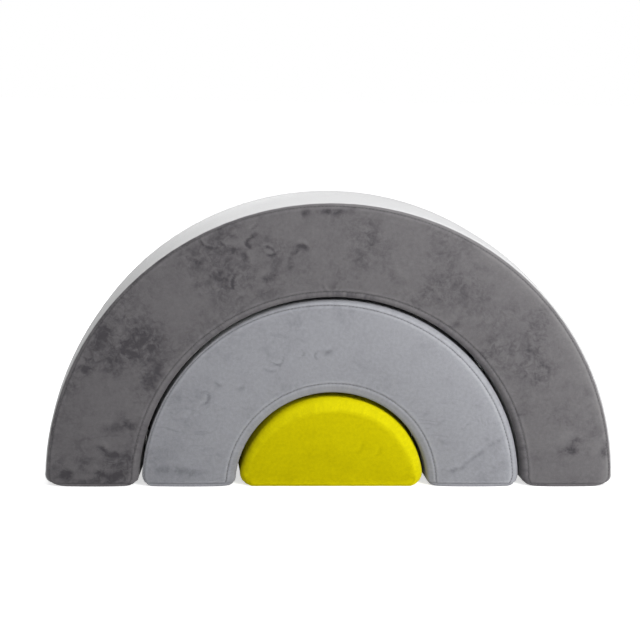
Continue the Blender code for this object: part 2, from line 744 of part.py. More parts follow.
def build():
    """Clears the scene and makes the three blocks."""
    for old in list(bpy.data.objects):
        bpy.data.objects.remove(old)
    foam = material("foam", (0.80, 0.77, 0.66), 0.9)
    metal = material("zip_metal", (0.55, 0.55, 0.56), 0.35, 1.0)
    cloths = {
        "outer_arch": material("dark_grey_velvet", (0.145, 0.138, 0.147), 0.85),
        "middle_arch": material("light_grey_velvet", (0.32, 0.33, 0.35), 0.85),
        "half_round": material("yellow_velvet", (0.56, 0.49, 0.004), 0.8),
    }
    tapes = {
        "outer_arch": material("dark_zip_tape", (0.10, 0.10, 0.105), 0.8),
        "middle_arch": material("grey_zip_tape", (0.26, 0.265, 0.28), 0.8),
        "half_round": material("yellow_zip_tape", (0.48, 0.41, 0.006), 0.8),
    }
    coils = {
        "outer_arch": material("dark_zip_coil", (0.06, 0.06, 0.065), 0.4),
        "middle_arch": material("grey_zip_coil", (0.22, 0.225, 0.24), 0.4),
        "half_round": material("yellow_zip_coil", (0.42, 0.35, 0.006), 0.4),
    }
    shared = {"slider": slider_mesh(), "pull": pull_mesh()}
    outer = Arch(OUTER_ARCH_RADIUS, OUTER_ARCH_WALL, OUTER_ARCH_OUTER_EDGE, OUTER_ARCH_INNER_EDGE)
    middle_radius = outer.inner - ARCH_CLEARANCE
    middle = Arch(middle_radius, MIDDLE_ARCH_WALL, MIDDLE_ARCH_OUTER_EDGE, MIDDLE_ARCH_INNER_EDGE)
    half = HalfRound(middle.inner - HALF_ROUND_CLEARANCE)
    makers = (("outer_arch", add_arch, outer), ("middle_arch", add_arch, middle), ("half_round", add_half_round, half))
    for block, make, shape in makers:
        colours = {"foam": foam, "metal": metal, "cloth": cloths[block], "tape": tapes[block], "coil": coils[block]}
        make(block, shape, empty(block + "_block"), colours, shared)


build()
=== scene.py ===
import math

import bmesh
import bpy
import numpy as np
from mathutils import Matrix, Vector


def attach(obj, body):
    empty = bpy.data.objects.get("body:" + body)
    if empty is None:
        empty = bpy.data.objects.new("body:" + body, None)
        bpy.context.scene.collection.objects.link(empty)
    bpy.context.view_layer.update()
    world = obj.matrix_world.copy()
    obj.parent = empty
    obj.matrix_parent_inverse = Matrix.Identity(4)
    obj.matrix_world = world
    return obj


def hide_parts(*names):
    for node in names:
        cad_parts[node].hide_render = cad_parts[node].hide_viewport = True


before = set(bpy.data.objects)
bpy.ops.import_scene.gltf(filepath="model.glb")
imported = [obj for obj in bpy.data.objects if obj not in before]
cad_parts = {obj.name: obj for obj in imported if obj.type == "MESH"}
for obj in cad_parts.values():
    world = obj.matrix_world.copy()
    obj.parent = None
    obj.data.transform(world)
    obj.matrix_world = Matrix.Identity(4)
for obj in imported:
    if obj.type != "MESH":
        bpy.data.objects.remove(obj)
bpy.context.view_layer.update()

# Studio
# The camera stands 3.3 m in front of the set, a little to the left, and looks down at it.
# A white floor keeps the blocks' shadow. A large soft lamp on the right and one over the back
# light the set at a plain level.
CAMERA_PLACE = (-0.221, -3.266, 0.963)
CAMERA_PAN = math.radians(3.469)
CAMERA_TILT = math.radians(10.910)
CAMERA_ROLL = math.radians(-1.002)
CAMERA_LENS = 88.06
FLOOR_REACH = 15.0
FLOOR_SHINE = 0.66
ROOM_LIGHT = 0.26


def add_node(tree, kind, inputs=None, **settings):
    """A node with its settings, and each input given as a value or as the socket that feeds it."""
    made = tree.nodes.new(kind)
    for name, value in settings.items():
        setattr(made, name, value)
    for name, value in (inputs or {}).items():
        if isinstance(value, bpy.types.NodeSocket):
            tree.links.new(value, made.inputs[name])
        else:
            made.inputs[name].default_value = value
    return made


def add_camera():
    """The camera, its axes turned by pan to the right, tilt down and roll."""
    forward = Vector((
        math.sin(CAMERA_PAN) * math.cos(CAMERA_TILT),
        math.cos(CAMERA_PAN) * math.cos(CAMERA_TILT),
        -math.sin(CAMERA_TILT),
    ))
    level = Vector((math.cos(CAMERA_PAN), -math.sin(CAMERA_PAN), 0))
    upright = level.cross(forward)
    across = level * math.cos(CAMERA_ROLL) - upright * math.sin(CAMERA_ROLL)
    up = level * math.sin(CAMERA_ROLL) + upright * math.cos(CAMERA_ROLL)
    data = bpy.data.cameras.new("camera")
    data.lens = CAMERA_LENS
    camera = bpy.data.objects.new("camera", data)
    camera.matrix_world = Matrix.Translation(CAMERA_PLACE) @ Matrix((across, up, -forward)).transposed().to_4x4()
    bpy.context.scene.collection.objects.link(camera)
    bpy.context.scene.camera = camera


def add_lamp(name, place, target, size, watts):
    """A soft rectangular lamp that the camera doesn't see."""
    data = bpy.data.lights.new(name, "AREA")
    data.shape = "RECTANGLE"
    data.size, data.size_y = size
    data.energy = watts
    lamp = bpy.data.objects.new(name, data)
    lamp.location = place
    lamp.rotation_euler = (Vector(target) - Vector(place)).to_track_quat("-Z", "Y").to_euler()
    lamp.visible_camera = False
    bpy.context.scene.collection.objects.link(lamp)


def seen_directly(tree):
    """1 for what the camera sees, in a mirror or through glass too, and 0 for the light on things."""
    path = add_node(tree, "ShaderNodeLightPath").outputs
    either = add_node(tree, "ShaderNodeMath", {0: path["Is Camera Ray"], 1: path["Is Glossy Ray"]}, operation="MAXIMUM")
    either = add_node(tree, "ShaderNodeMath", {0: either.outputs[0], 1: path["Is Transmission Ray"]}, operation="MAXIMUM")
    return either.outputs[0]


def add_floor():
    """A white floor, which the camera sees shine, less so near the set, where it takes a soft shadow."""
    corners = [(-1, -1), (1, -1), (1, 1), (-1, 1)]
    mesh = bpy.data.meshes.new("floor")
    mesh.from_pydata([(x * FLOOR_REACH, y * FLOOR_REACH, 0) for x, y in corners], [], [(0, 1, 2, 3)])
    finish = bpy.data.materials.new("floor_white")
    finish.use_nodes = True
    tree = finish.node_tree
    shader = tree.nodes["Principled BSDF"]
    shader.inputs["Base Color"].default_value = (0.82, 0.82, 0.82, 1)
    shader.inputs["Roughness"].default_value = 0.9
    shader.inputs["Specular IOR Level"].default_value = 0.0
    shader.inputs["Emission Color"].default_value = (1, 1, 1, 1)
    place = add_node(tree, "ShaderNodeTexCoord").outputs["Object"]
    distance = add_node(tree, "ShaderNodeVectorMath", {0: place}, operation="LENGTH").outputs["Value"]
    limits = {"Value": distance, "From Min": 0.9, "From Max": 2.6, "To Min": FLOOR_SHINE, "To Max": 1.0}
    shine = add_node(tree, "ShaderNodeMapRange", limits, interpolation_type="SMOOTHSTEP").outputs[0]
    strength = add_node(tree, "ShaderNodeMath", {0: seen_directly(tree), 1: shine}, operation="MULTIPLY")
    tree.links.new(strength.outputs[0], shader.inputs["Emission Strength"])
    mesh.materials.append(finish)
    floor = bpy.data.objects.new("floor", mesh)
    bpy.context.scene.collection.objects.link(floor)


def light_room():
    """A white background, which lights the set only as strongly as a bright room does."""
    world = bpy.data.worlds.new("studio")
    bpy.context.scene.world = world
    world.use_nodes = True
    tree = world.node_tree
    behind = tree.nodes["Background"]
    behind.inputs["Color"].default_value = (1, 1, 1, 1)
    strength = add_node(
        tree,
        "ShaderNodeMapRange",
        {"Value": seen_directly(tree), "To Min": ROOM_LIGHT, "To Max": 1.0},
    )
    tree.links.new(strength.outputs[0], behind.inputs["Strength"])


add_camera()
add_floor()
light_room()
add_lamp("lamp_right", (1.5, -2.1, 1.9), (0.2, 0, 0.25), (1.2, 1.2), 82)
add_lamp("lamp_back", (-0.3, 1.3, 2.6), (0, 0.1, 0.45), (3.0, 1.2), 47)
bpy.context.scene.view_settings.view_transform = "Standard"

# Outer arch cover
# The largest block's cover is dark grey velvet over foam: a face in front and one behind, a band
# over the top, a band under the arch and a panel under each foot, sewn together inside out. Each
# panel is a grid worked out from its section and its angle, then puffed out by a cloth simulation
# of the whole filled cover with its seams held, and drawn into its seams.
OUTER_RADIUS = 0.600
# Painted light: the arch faces are painted paler to the right and darker to the left, as if lit from the right.
PAINTED_SIDE_LIGHT = 0.20
SEAM_DEPTH = 0.119
FACE_CROWN = 0.006
BAND_CROWN = 0.0034
CROWN_POWER = 2.5
CLOTH = 0.0015
FOOT_EDGE = 0.004
CORNER_HOLD = 0.5
# A painted highlight along the rounded outer edges, strongest on the right, and more painted sheen on the outer band
# there.
PAINTED_RIM_HIGHLIGHT = 0.80
RIM_PAINTED_SHEEN = 1.5
FOOT_SEAM = 0.0065
LEVEL_BELOW = 0.024
RADIAL_ABOVE = 0.110
ZIP_END = math.radians(15)
ZIP_END_TAPER = math.radians(1.6)
ZIP_SLOT = 0.0065
ZIP_SHUT = 0.0003
FLAT_REACH = 0.0174
SEAM_COLUMNS = (0.0, 0.0005, 0.0011, 0.0018, 0.0027, 0.0040, 0.0060)
RIM_CELL = 0.0017
RIM_REACH = 0.0210
RIM_SHARE = 0.4
FRONT_CELL = 0.0034
PLAIN_CELL = 0.0060
PUFF_CELL = 0.0085
SEAM_SINK = 0.0009
SEAM_WIDTH = 0.0013
SEAM_ROLL = 0.0005
SEAM_ROLL_AT = 0.0055
SEAM_ROLL_WIDTH = 0.0030
PUCKER = 0.00045
PUCKER_REACH = 0.011
PUFF_PRESSURE = 4.0
PUFF_FRAMES = 20
PUFF_LIMIT = 0.0030
FREE_PUFF = 0.0012


def bulge(u):
    """The height of a padded surface between two seams: 0 at u = 0 and u = 1, and 1 halfway."""
    return 1 - np.abs(2 * np.clip(u, 0, 1) - 1) ** CROWN_POWER


def eased(value, low, high):
    """0 below low, 1 above high, and a smooth cubic step between."""
    u = np.clip((value - low) / (high - low), 0, 1)
    return u * u * (3 - 2 * u)


def hill(value, centre, width):
    """A smooth hill of height 1 round a centre."""
    return np.exp(-(((value - centre) / width) ** 2))


def shares(length, cell, reach=SEAM_COLUMNS[-1]):
    """Places across a panel from 0 to 1: close together as far in as reach, and even between."""
    rim = np.array([*SEAM_COLUMNS[:-1], *np.arange(SEAM_COLUMNS[-1], reach + RIM_CELL / 2, RIM_CELL)]) / length
    rim = rim[rim < RIM_SHARE]
    count = max(2, round((1 - 2 * rim[-1]) * length / cell))
    middle = np.linspace(rim[-1], 1 - rim[-1], count + 1)
    return np.concatenate([rim[:-1], middle, 1 - rim[-2::-1]])


def band_profile(share, edge, rounding, lean=0.0):
    """A band's height above its seams and its depth, from the front seam to the back one.

    By their length: a straight strip that leans back from the face, an arc that ends square to the
    face, a span that swells by a squared sine, and the same back again.
    """
    sine, cosine = math.sin(lean), math.cos(lean)
    radius = np.minimum(rounding, edge / (1 - sine))
    strip = (edge - radius * (1 - sine)) / cosine
    arc = radius * (np.pi / 2 - lean)
    span = 2 * (SEAM_DEPTH - strip * sine - radius * cosine)
    along = share * (2 * (strip + arc) + span)
    start = np.minimum(along, strip)
    first = lean + np.clip((along - strip) / radius, 0, np.pi / 2 - lean)
    crossed = np.clip(along - strip - arc, 0, span)
    last = np.clip((along - strip - arc - span) / radius, 0, np.pi / 2 - lean)
    end = np.clip(along - strip - 2 * arc - span, 0, strip)
    swell = BAND_CROWN * np.sin(np.pi * crossed / span) ** 2
    height = (start - end) * cosine + radius * (np.sin(first) - sine + np.cos(last) - 1) + swell
    depth = (start + end) * sine + radius * (cosine - np.cos(first) + np.sin(last)) + crossed
    return height, depth - SEAM_DEPTH


def grid_faces(rows, columns, closed=False):
    """The quads of a grid of points, numbered row by row, turned to face outwards."""
    wide = columns if closed else columns - 1
    start = np.arange(rows - 1)[:, None] * columns
    here = np.arange(wide)[None, :]
    after = (here + 1) % columns
    quads = np.stack([start + here, start + after, start + columns + after, start + columns + here], axis=-1)
    return quads.reshape(-1, 4)


def normals_of(points):
    """The outward directions of a grid: its step across crossed with its step along."""
    across = np.gradient(points, axis=1)
    along = np.gradient(points, axis=0)
    made = np.cross(across, along)
    return made / np.maximum(np.linalg.norm(made, axis=-1, keepdims=True), 1e-12)


def eased_rows(values, places):
    """Values at places between rows, by a smooth cubic through the four nearest rows."""
    last = len(values) - 1
    base = np.clip(np.floor(places).astype(int), 0, last - 1)
    part = (places - base).reshape(-1, *[1] * (values.ndim - 1))
    before, start, end, after = (values[np.clip(base + k, 0, last)] for k in (-1, 0, 1, 2))
    bend = 2 * before - 5 * start + 4 * end - after
    twist = 3 * (start - end) + after - before
    return start + 0.5 * part * (end - before + part * (bend + part * twist))


def add_piece(name, points, faces, finish, flat=None, values=None):
    """A smooth mesh piece. flat is its place on the cloth in metres, and values its attributes."""
    mesh = bpy.data.meshes.new(name)
    mesh.from_pydata(points.reshape(-1, 3).tolist(), [], [list(map(int, face)) for face in faces])
    mesh.shade_smooth()
    if flat is not None:
        corners = np.zeros(len(mesh.loops), np.int32)
        mesh.loops.foreach_get("vertex_index", corners)
        layer = mesh.uv_layers.new(name="cloth")
        layer.data.foreach_set("uv", flat.reshape(-1, 2)[corners].astype(np.float32).ravel())
    for label, numbers in (values or {}).items():
        kept = mesh.attributes.new(label, "FLOAT", "POINT")
        kept.data.foreach_set("value", numbers.astype(np.float32).ravel())
    mesh.materials.append(finish)
    made = bpy.data.objects.new(name, mesh)
    bpy.context.scene.collection.objects.link(made)
    return made


def puffed(name, points, held, limit):
    """How far each point of a filled cover moves, from a closed grid of points.

    Pressure pushes the cloth out for 20 frames while the held points stay, and each point's way is
    eased to stay under its limit.
    """
    rows, columns = points.shape[:2]
    caps = [list(range(columns - 1, -1, -1)), list(range((rows - 1) * columns, rows * columns))]
    faces = grid_faces(rows, columns, closed=True).tolist() + [caps[1], caps[0]]
    mesh = bpy.data.meshes.new(name)
    mesh.from_pydata(points.reshape(-1, 3).tolist(), [], faces)
    cover = bpy.data.objects.new(name, mesh)
    bpy.context.scene.collection.objects.link(cover)
    pins = cover.vertex_groups.new(name="held")
    pins.add(np.flatnonzero(held.ravel()).tolist(), 1.0, "REPLACE")
    cloth = cover.modifiers.new("filled", "CLOTH")
    settings = cloth.settings
    settings.vertex_group_mass = "held"
    settings.quality = 4
    settings.mass = 0.3
    settings.tension_stiffness = 25
    settings.compression_stiffness = 25
    settings.shear_stiffness = 8
    settings.bending_stiffness = 0.8
    settings.use_pressure = True
    settings.uniform_pressure_force = PUFF_PRESSURE
    settings.effector_weights.gravity = 0
    cloth.collision_settings.use_self_collision = False
    for moment in range(1, PUFF_FRAMES + 1):
        bpy.context.scene.frame_set(moment)
    settled = cover.evaluated_get(bpy.context.evaluated_depsgraph_get()).to_mesh()
    moved = np.zeros(rows * columns * 3, np.float32)
    settled.vertices.foreach_get("co", moved)
    bpy.data.objects.remove(cover)
    bpy.context.scene.frame_set(1)
    way = moved.reshape(points.shape) - points
    length = np.linalg.norm(way, axis=-1, keepdims=True)
    limit = np.maximum(limit[..., None], 1e-6)
    print(name, "puffed by up to", round(float(length.max()) * 1000, 2), "mm")
    return way * limit * np.tanh(length / limit) / np.maximum(length, 1e-9)


def wave(along, phase):
    """Uneven gathers along a seam: two waves whose lengths drift."""
    slow = np.sin(along * 2 * np.pi / 0.037 + 1.7 * np.sin(along / 0.083 + phase))
    quick = np.sin(along * 2 * np.pi / 0.0213 + 2.3 * np.sin(along / 0.131 + phase))
    return (slow + 0.6 * quick) / 1.6


def drawn_into_seams(points, near, far, foot, along, sink):
    """Cloth sunk into its seams, with a soft roll beside each and small gathers.

    near, far and foot are the distances from a panel's two long seams and its foot seams.
    """
    away = normals_of(points)
    rim = np.minimum(near, far)
    facing = np.zeros_like(away)
    facing[..., 1] = np.sign(points[..., 1])
    turn = eased(rim, 0.0, 0.004)[..., None]
    away = facing + (away - facing) * np.where(foot[..., None] < 0.004, 1, turn)
    away /= np.maximum(np.linalg.norm(away, axis=-1, keepdims=True), 1e-9)
    closest = np.minimum(rim, foot)
    depth = sink * np.exp(-((closest / SEAM_WIDTH) ** 1.4))
    roll = SEAM_ROLL * hill(closest, SEAM_ROLL_AT, SEAM_ROLL_WIDTH)
    fade = np.exp(-rim / PUCKER_REACH) * eased(foot, 0, 0.02)
    lift = roll - depth + PUCKER * fade * wave(along, 0.0)
    moved = points + away * lift[..., None]
    moved[..., 2] = np.maximum(moved[..., 2], 0)
    return moved, closest


def thickened(piece, body, nodes):
    """A cover panel with its cloth's thickness inwards, on its body and in place of CAD nodes."""
    wall = piece.modifiers.new("thickness", "SOLIDIFY")
    wall.thickness = CLOTH
    wall.offset = -1
    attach(piece, body)
    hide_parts(*nodes)
    return piece


def corner_draw(height, reach):
    """How far a rounded corner draws in at a height: 1 at the floor and 0 from its reach up."""
    return 1 - np.sin(np.arccos(np.clip(1 - height / reach, 0, 1)))


class ArchCover:
    """The shape of an arch's cover. A seam's radius may change a little with the angle."""

    def __init__(self, outer, inner, outer_seam, inner_seam, roundings, leans, outer_corner, inner_corner,
                 zip_radius, band_puffs, band_painted_sheen):
        self.band_puffs = dict(zip(("outer_band", "inner_band"), band_puffs))
        self.band_painted_sheen = dict(zip(("outer_band", "inner_band"), band_painted_sheen))
        self.outer = outer
        self.inner = inner
        self.middle = (outer + inner) / 2
        self.outer_seam = outer_seam
        self.inner_seam = inner_seam
        self.outer_rounding, self.inner_rounding = roundings
        self.outer_lean, self.inner_lean = (math.radians(lean) for lean in leans)
        self.outer_corner = outer_corner
        self.inner_corner = inner_corner
        self.zip_radius = zip_radius

    def crown(self, crown, radius, start, end):
        """The depth of a face at a radius between two radii where its padding ends."""
        return SEAM_DEPTH + crown * bulge((radius - start) / (end - start))

    def slot(self, angle):
        """Half the opening over the zip: full between the zip's ends and shut past them."""
        rise = np.minimum(angle, np.pi - angle)
        return ZIP_SHUT + (ZIP_SLOT - ZIP_SHUT) * eased(rise, ZIP_END - ZIP_END_TAPER, ZIP_END)

    def panel(self, name, angle, share, crown=FACE_CROWN / 2):
        """A panel's radius and depth, for a column of angles and a row of places across it."""
        outer_seam, inner_seam = self.outer_seam(angle), self.inner_seam(angle)
        if name == "front_panel":
            radius = inner_seam + (outer_seam - inner_seam) * share
            return radius, -self.crown(crown, radius, inner_seam, outer_seam)
        if name == "outer_band":
            edge = self.outer - BAND_CROWN - outer_seam
            height, depth = band_profile(share, edge, self.outer_rounding, self.outer_lean)
            return outer_seam + height, depth
        if name == "back_panel":
            radius = outer_seam + (self.zip_radius + self.slot(angle) - outer_seam) * share
            return radius, self.crown(crown, radius, outer_seam, self.zip_radius + FLAT_REACH)
        if name == "back_facing":
            start = self.zip_radius - self.slot(angle)
            radius = start + (inner_seam - start) * share
            return radius, SEAM_DEPTH + 0 * radius
        edge = inner_seam - self.inner - BAND_CROWN
        rounding = self.inner_rounding * (1 + np.cos(angle) ** 2)
        height, depth = band_profile(share, edge, rounding, self.inner_lean)
        return inner_seam - height, -depth

    def widths(self):
        """The rough length across each panel."""
        face = float(self.outer_seam(np.pi / 2) - self.inner_seam(np.pi / 2))
        return {
            "front_panel": face,
            "outer_band": 2 * SEAM_DEPTH + 0.008,
            "back_panel": float(self.outer_seam(np.pi / 2)) - self.zip_radius - ZIP_SLOT,
            "back_facing": self.zip_radius - ZIP_SLOT - float(self.inner_seam(np.pi / 2)),
            "inner_band": 2 * SEAM_DEPTH + 0.008,
        }

    def columns(self, panel):
        """Places across a panel: finest on the front, and fine round the edges of a band."""
        cell = FRONT_CELL if panel == "front_panel" else PLAIN_CELL
        reach = RIM_REACH if panel.endswith("band") else SEAM_COLUMNS[-1]
        return shares(self.widths()[panel], cell, reach)

    def place(self, radius, depth, angle):
        """Points at a radius and depth, on the planes of the given angles.

        Near a foot the planes turn level, and the section draws in by a quarter ellipse at
        each corner, less so halfway back.
        """
        side = np.where(angle < np.pi / 2, 1.0, -1.0)
        rise = np.minimum(angle, np.pi - angle)
        height = self.middle * np.sin(rise)
        level = np.arcsin(np.clip(height / radius, 0, 1))
        turned = level + (rise - level) * eased(height, LEVEL_BELOW, RADIAL_ABOVE)
        z = radius * np.sin(turned)
        across = (radius - self.inner) / (self.outer - self.inner)
        outer_draw = across * self.outer_corner[0] * corner_draw(z, self.outer_corner[1])
        inner_draw = (1 - across) * self.inner_corner[0] * corner_draw(z, self.inner_corner[1])
        drawn = 1 - CORNER_HOLD * np.clip(1 - (depth / SEAM_DEPTH) ** 2, 0, 1)
        x = side * (radius * np.cos(turned) + (inner_draw - outer_draw) * drawn)
        y = depth * (1 - FOOT_EDGE * corner_draw(z, FOOT_EDGE) / SEAM_DEPTH)
        return np.stack([x + 0 * depth, y + 0 * x, z + 0 * depth], axis=-1)

    def angles(self, cell):
        """Angles from the right foot's seam to the left one's, closer together at the feet."""
        low = FOOT_SEAM + np.array(SEAM_COLUMNS[:-1] + (0.006, 0.009, 0.0125, 0.0165, 0.021))
        start = np.arcsin(low / self.middle)
        count = round((np.pi - 2 * start[-1]) * self.middle / cell)
        between = np.linspace(start[-1], np.pi - start[-1], count + 1)
        return np.concatenate([start[:-1], between, (np.pi - start[-2::-1])])

    def puff(self, name):
        """The way each coarse grid point of each panel moves when the cover is filled."""
        angle = np.linspace(FOOT_SEAM / self.middle, np.pi - FOOT_SEAM / self.middle,
                            round(np.pi * self.middle / PUFF_CELL) + 1)
        loops, held, limit, spans = [], [], [], {}
        first = 0
        for panel, width in self.widths().items():
            share = np.linspace(0, 1, max(3, round(width / PUFF_CELL)) + 1)
            points = self.place(*self.panel(panel, angle[:, None], share[None, :]), angle[:, None])
            foot = np.minimum(angle, angle[::-1])[:, None] * self.middle
            most = PUFF_LIMIT * np.minimum(1, 2.4 * bulge(share))[None, :] * eased(foot, FOOT_SEAM, 0.03)
            if panel in self.band_puffs:
                most = most * self.band_puffs[panel] / PUFF_LIMIT
            if panel == "back_facing":
                most = most * 0
            loops.append(points[:, :-1])
            limit.append(most[:, :-1])
            pinned = np.zeros(points.shape[:2], bool)
            pinned[:, 0] = True
            held.append(pinned[:, :-1])
            spans[panel] = (first, len(share))
            first += len(share) - 1
        points, held, limit = (np.concatenate(parts, axis=1) for parts in (loops, held, limit))
        held[0] = held[-1] = True
        way = puffed(name, points, held, limit)
        way[held] = 0
        way = np.concatenate([way, way[:, :1]], axis=1)
        return angle, {panel: way[:, start:start + count] for panel, (start, count) in spans.items()}

    def shaped(self, panel, angle, share, puff):
        """A panel's points before its seams are drawn in, with the filled cover's puff added."""
        coarse_angle, ways = puff
        way = ways[panel]
        rows = np.interp(angle, coarse_angle, np.arange(len(coarse_angle)))
        way = eased_rows(way, rows)
        way = eased_rows(way.transpose(1, 0, 2), share * (way.shape[1] - 1)).transpose(1, 0, 2)
        return self.place(*self.panel(panel, angle[:, None], share[None, :]), angle[:, None]) + way


def cloth_place(panel, points, angle, radius, offset):
    """Where each point lies on the flat cloth: a face's own plane, or a band rolled out."""
    if panel.endswith("band"):
        u = (angle * radius)[:, None] + 0 * points[..., 0]
        return np.stack([u, points[..., 1]], axis=-1) + offset
    return points[..., [0, 2]] + offset


def brush_marks(points, marks):
    """Where fingers have laid the pile over: each mark is a bent stroke with a paler far side.

    A mark is its place in X and Z, length, width, direction in degrees, bend and strength.
    """
    total = np.zeros(points.shape[:-1])
    for x, z, length, width, direction, bend, strength in marks:
        turn = math.radians(direction)
        dx, dz = points[..., 0] - x, points[..., 2] - z
        along = dx * math.cos(turn) + dz * math.sin(turn)
        across = -dx * math.sin(turn) + dz * math.cos(turn) - bend * along**2 / length
        taper = np.exp(-((along / length) ** 4))
        total += strength * taper * (hill(across, 0, width) - 0.45 * hill(across, 1.6 * width, width))
    return total


def edge_distances(points):
    """Distances across a grid from its first and its last column."""
    steps = np.linalg.norm(np.diff(points, axis=1), axis=-1)
    near = np.concatenate([np.zeros((len(points), 1)), np.cumsum(steps, axis=1)], axis=1)
    return near, near[:, -1:] - near


def painted_sheen_share(rim, amount, reach):
    """How much painted sheen a panel takes: its whole amount beside a seam, and none past its reach."""
    return amount * (1 - eased(rim, 0.6 * reach, reach))


def add_cover_panel(block, cover, panel, puff, finish, offset, marks=()):
    """One panel of an arch's cover, between its two long seams and its two foot seams."""
    angle = cover.angles(FRONT_CELL if panel == "front_panel" else PLAIN_CELL)
    share = cover.columns(panel)
    points = cover.shaped(panel, angle, share, puff)
    near, far = edge_distances(points)
    foot = np.minimum(angle - angle[0], angle[-1] - angle)[:, None] * cover.middle + 0 * near
    along = (angle * cover.middle)[:, None] + 0 * near
    flat = cloth_place(panel, points, angle, cover.middle, offset)
    moved, closest = drawn_into_seams(points, near, far, foot, along, SEAM_SINK)
    amount, reach = cover.band_painted_sheen.get(panel, (0.0, 1.0))
    rim = np.minimum(near, far)
    # tips: how much painted sheen this panel takes beside its seams.
    tips = painted_sheen_share(rim, amount, reach)
    lean = 0 * closest
    # lean holds painted light: on a face it is paler to the right, with a painted highlight by the outer seam; on the
    # outer band it is a painted highlight at the upper right.
    if panel == "front_panel":
        painted_rim_light = hill(far, 0, 0.014) * eased(moved[..., 0], 0.1 * cover.outer, 0.75 * cover.outer)
        lean = PAINTED_SIDE_LIGHT * moved[..., 0] / OUTER_RADIUS + PAINTED_RIM_HIGHLIGHT * painted_rim_light
    if panel == "outer_band":
        bright = hill(rim, 0, 0.016) * eased(moved[..., 0], -0.35 * cover.outer, 0.3 * cover.outer)
        lean = PAINTED_RIM_HIGHLIGHT * bright
        # The outer band's painted sheen is strongest under that painted highlight.
        tips = tips * (1 + RIM_PAINTED_SHEEN * bright)
    values = {"seam": closest, "marks": brush_marks(moved, marks), "lean": lean, "tips": tips}
    piece = add_piece(f"{block}_{panel}_cloth", moved, grid_faces(*moved.shape[:2]), finish, flat, values)
    return piece, points, moved


def add_foot(block, cover, side, loop, finish, offset):
    """The panel under a foot: rings from the foot's seam down its rounded corner and over the sole."""
    low = FOOT_SEAM - np.array(SEAM_COLUMNS)
    low = np.concatenate([low[:-1], np.array([0.0015, 0.0006, 0.0])])
    angle = np.arcsin(low / cover.middle)
    angle = angle if side > 0 else np.pi - angle
    radius, depth = loop
    rings = [cover.place(radius, depth, a) for a in angle]
    centre = rings[-1].mean(axis=0)
    rings += [centre + (rings[-1] - centre) * s for s in (0.985, 0.93, 0.8, 0.6, 0.35, 0.12)]
    points = np.stack(rings)
    if side > 0:
        points = points[::-1]
    seam = np.cumsum(np.linalg.norm(np.diff(points[-1 if side > 0 else 0], axis=0), axis=-1))
    seam = np.concatenate([[0], seam])
    height = FOOT_SEAM - np.concatenate([low, np.zeros(6)])
    away = np.where(np.arange(len(points)) < len(low), height, 0.02 + 0.01 * np.arange(len(points)))
    away = away[::-1] if side > 0 else away
    turned = np.concatenate([points, points[:, :1]], axis=1)
    out = normals_of(turned)[:, :-1]
    depth = SEAM_SINK * np.exp(-((away / SEAM_WIDTH) ** 1.4))[:, None]
    points = points - out * depth[..., None]
    points[..., 2] = np.maximum(points[..., 2], 0)
    rows, columns = points.shape[:2]
    middle = rows * columns
    ring = np.arange(columns) + (0 if side > 0 else (rows - 1) * columns)
    fan = np.stack([ring, np.roll(ring, -1), np.full(columns, middle)], axis=-1)
    fan = fan[:, ::-1] if side > 0 else fan
    faces = grid_faces(rows, columns, closed=True).tolist() + fan.tolist()
    points = np.concatenate([points.reshape(-1, 3), [centre * (1, 1, 0)]])
    flat = points[:, :2] + offset
    closest = np.concatenate([np.repeat(away, columns), [0.05]])
    label = "right" if side > 0 else "left"
    values = {"seam": closest, "marks": 0 * closest, "tips": 0 * closest}
    return add_piece(f"{block}_{label}_foot_cloth", points, faces, finish, flat, values)


def colour_mix(tree, share, first, second):
    """A mix of two colours."""
    return add_node(tree, "ShaderNodeMix", {0: share, 6: first, 7: second}, data_type="RGBA").outputs[2]


def reckon(tree, operation, *values, clamp=False):
    """The result of a Math node."""
    return add_node(tree, "ShaderNodeMath", dict(enumerate(values)), operation=operation, use_clamp=clamp).outputs[0]


def stepped(tree, value, low, high, to_low=0.0, to_high=1.0):
    """A smooth step of a value between two limits."""
    inputs = {"Value": value, "From Min": low, "From Max": high, "To Min": to_low, "To Max": to_high}
    return add_node(tree, "ShaderNodeMapRange", inputs, interpolation_type="SMOOTHSTEP").outputs[0]


def noise(tree, place, scale, detail=2.0, roughness=0.5, distortion=0.0):
    """A noise node over a place."""
    inputs = {"Vector": place, "Scale": scale, "Detail": detail, "Roughness": roughness, "Distortion": distortion}
    return add_node(tree, "ShaderNodeTexNoise", inputs)


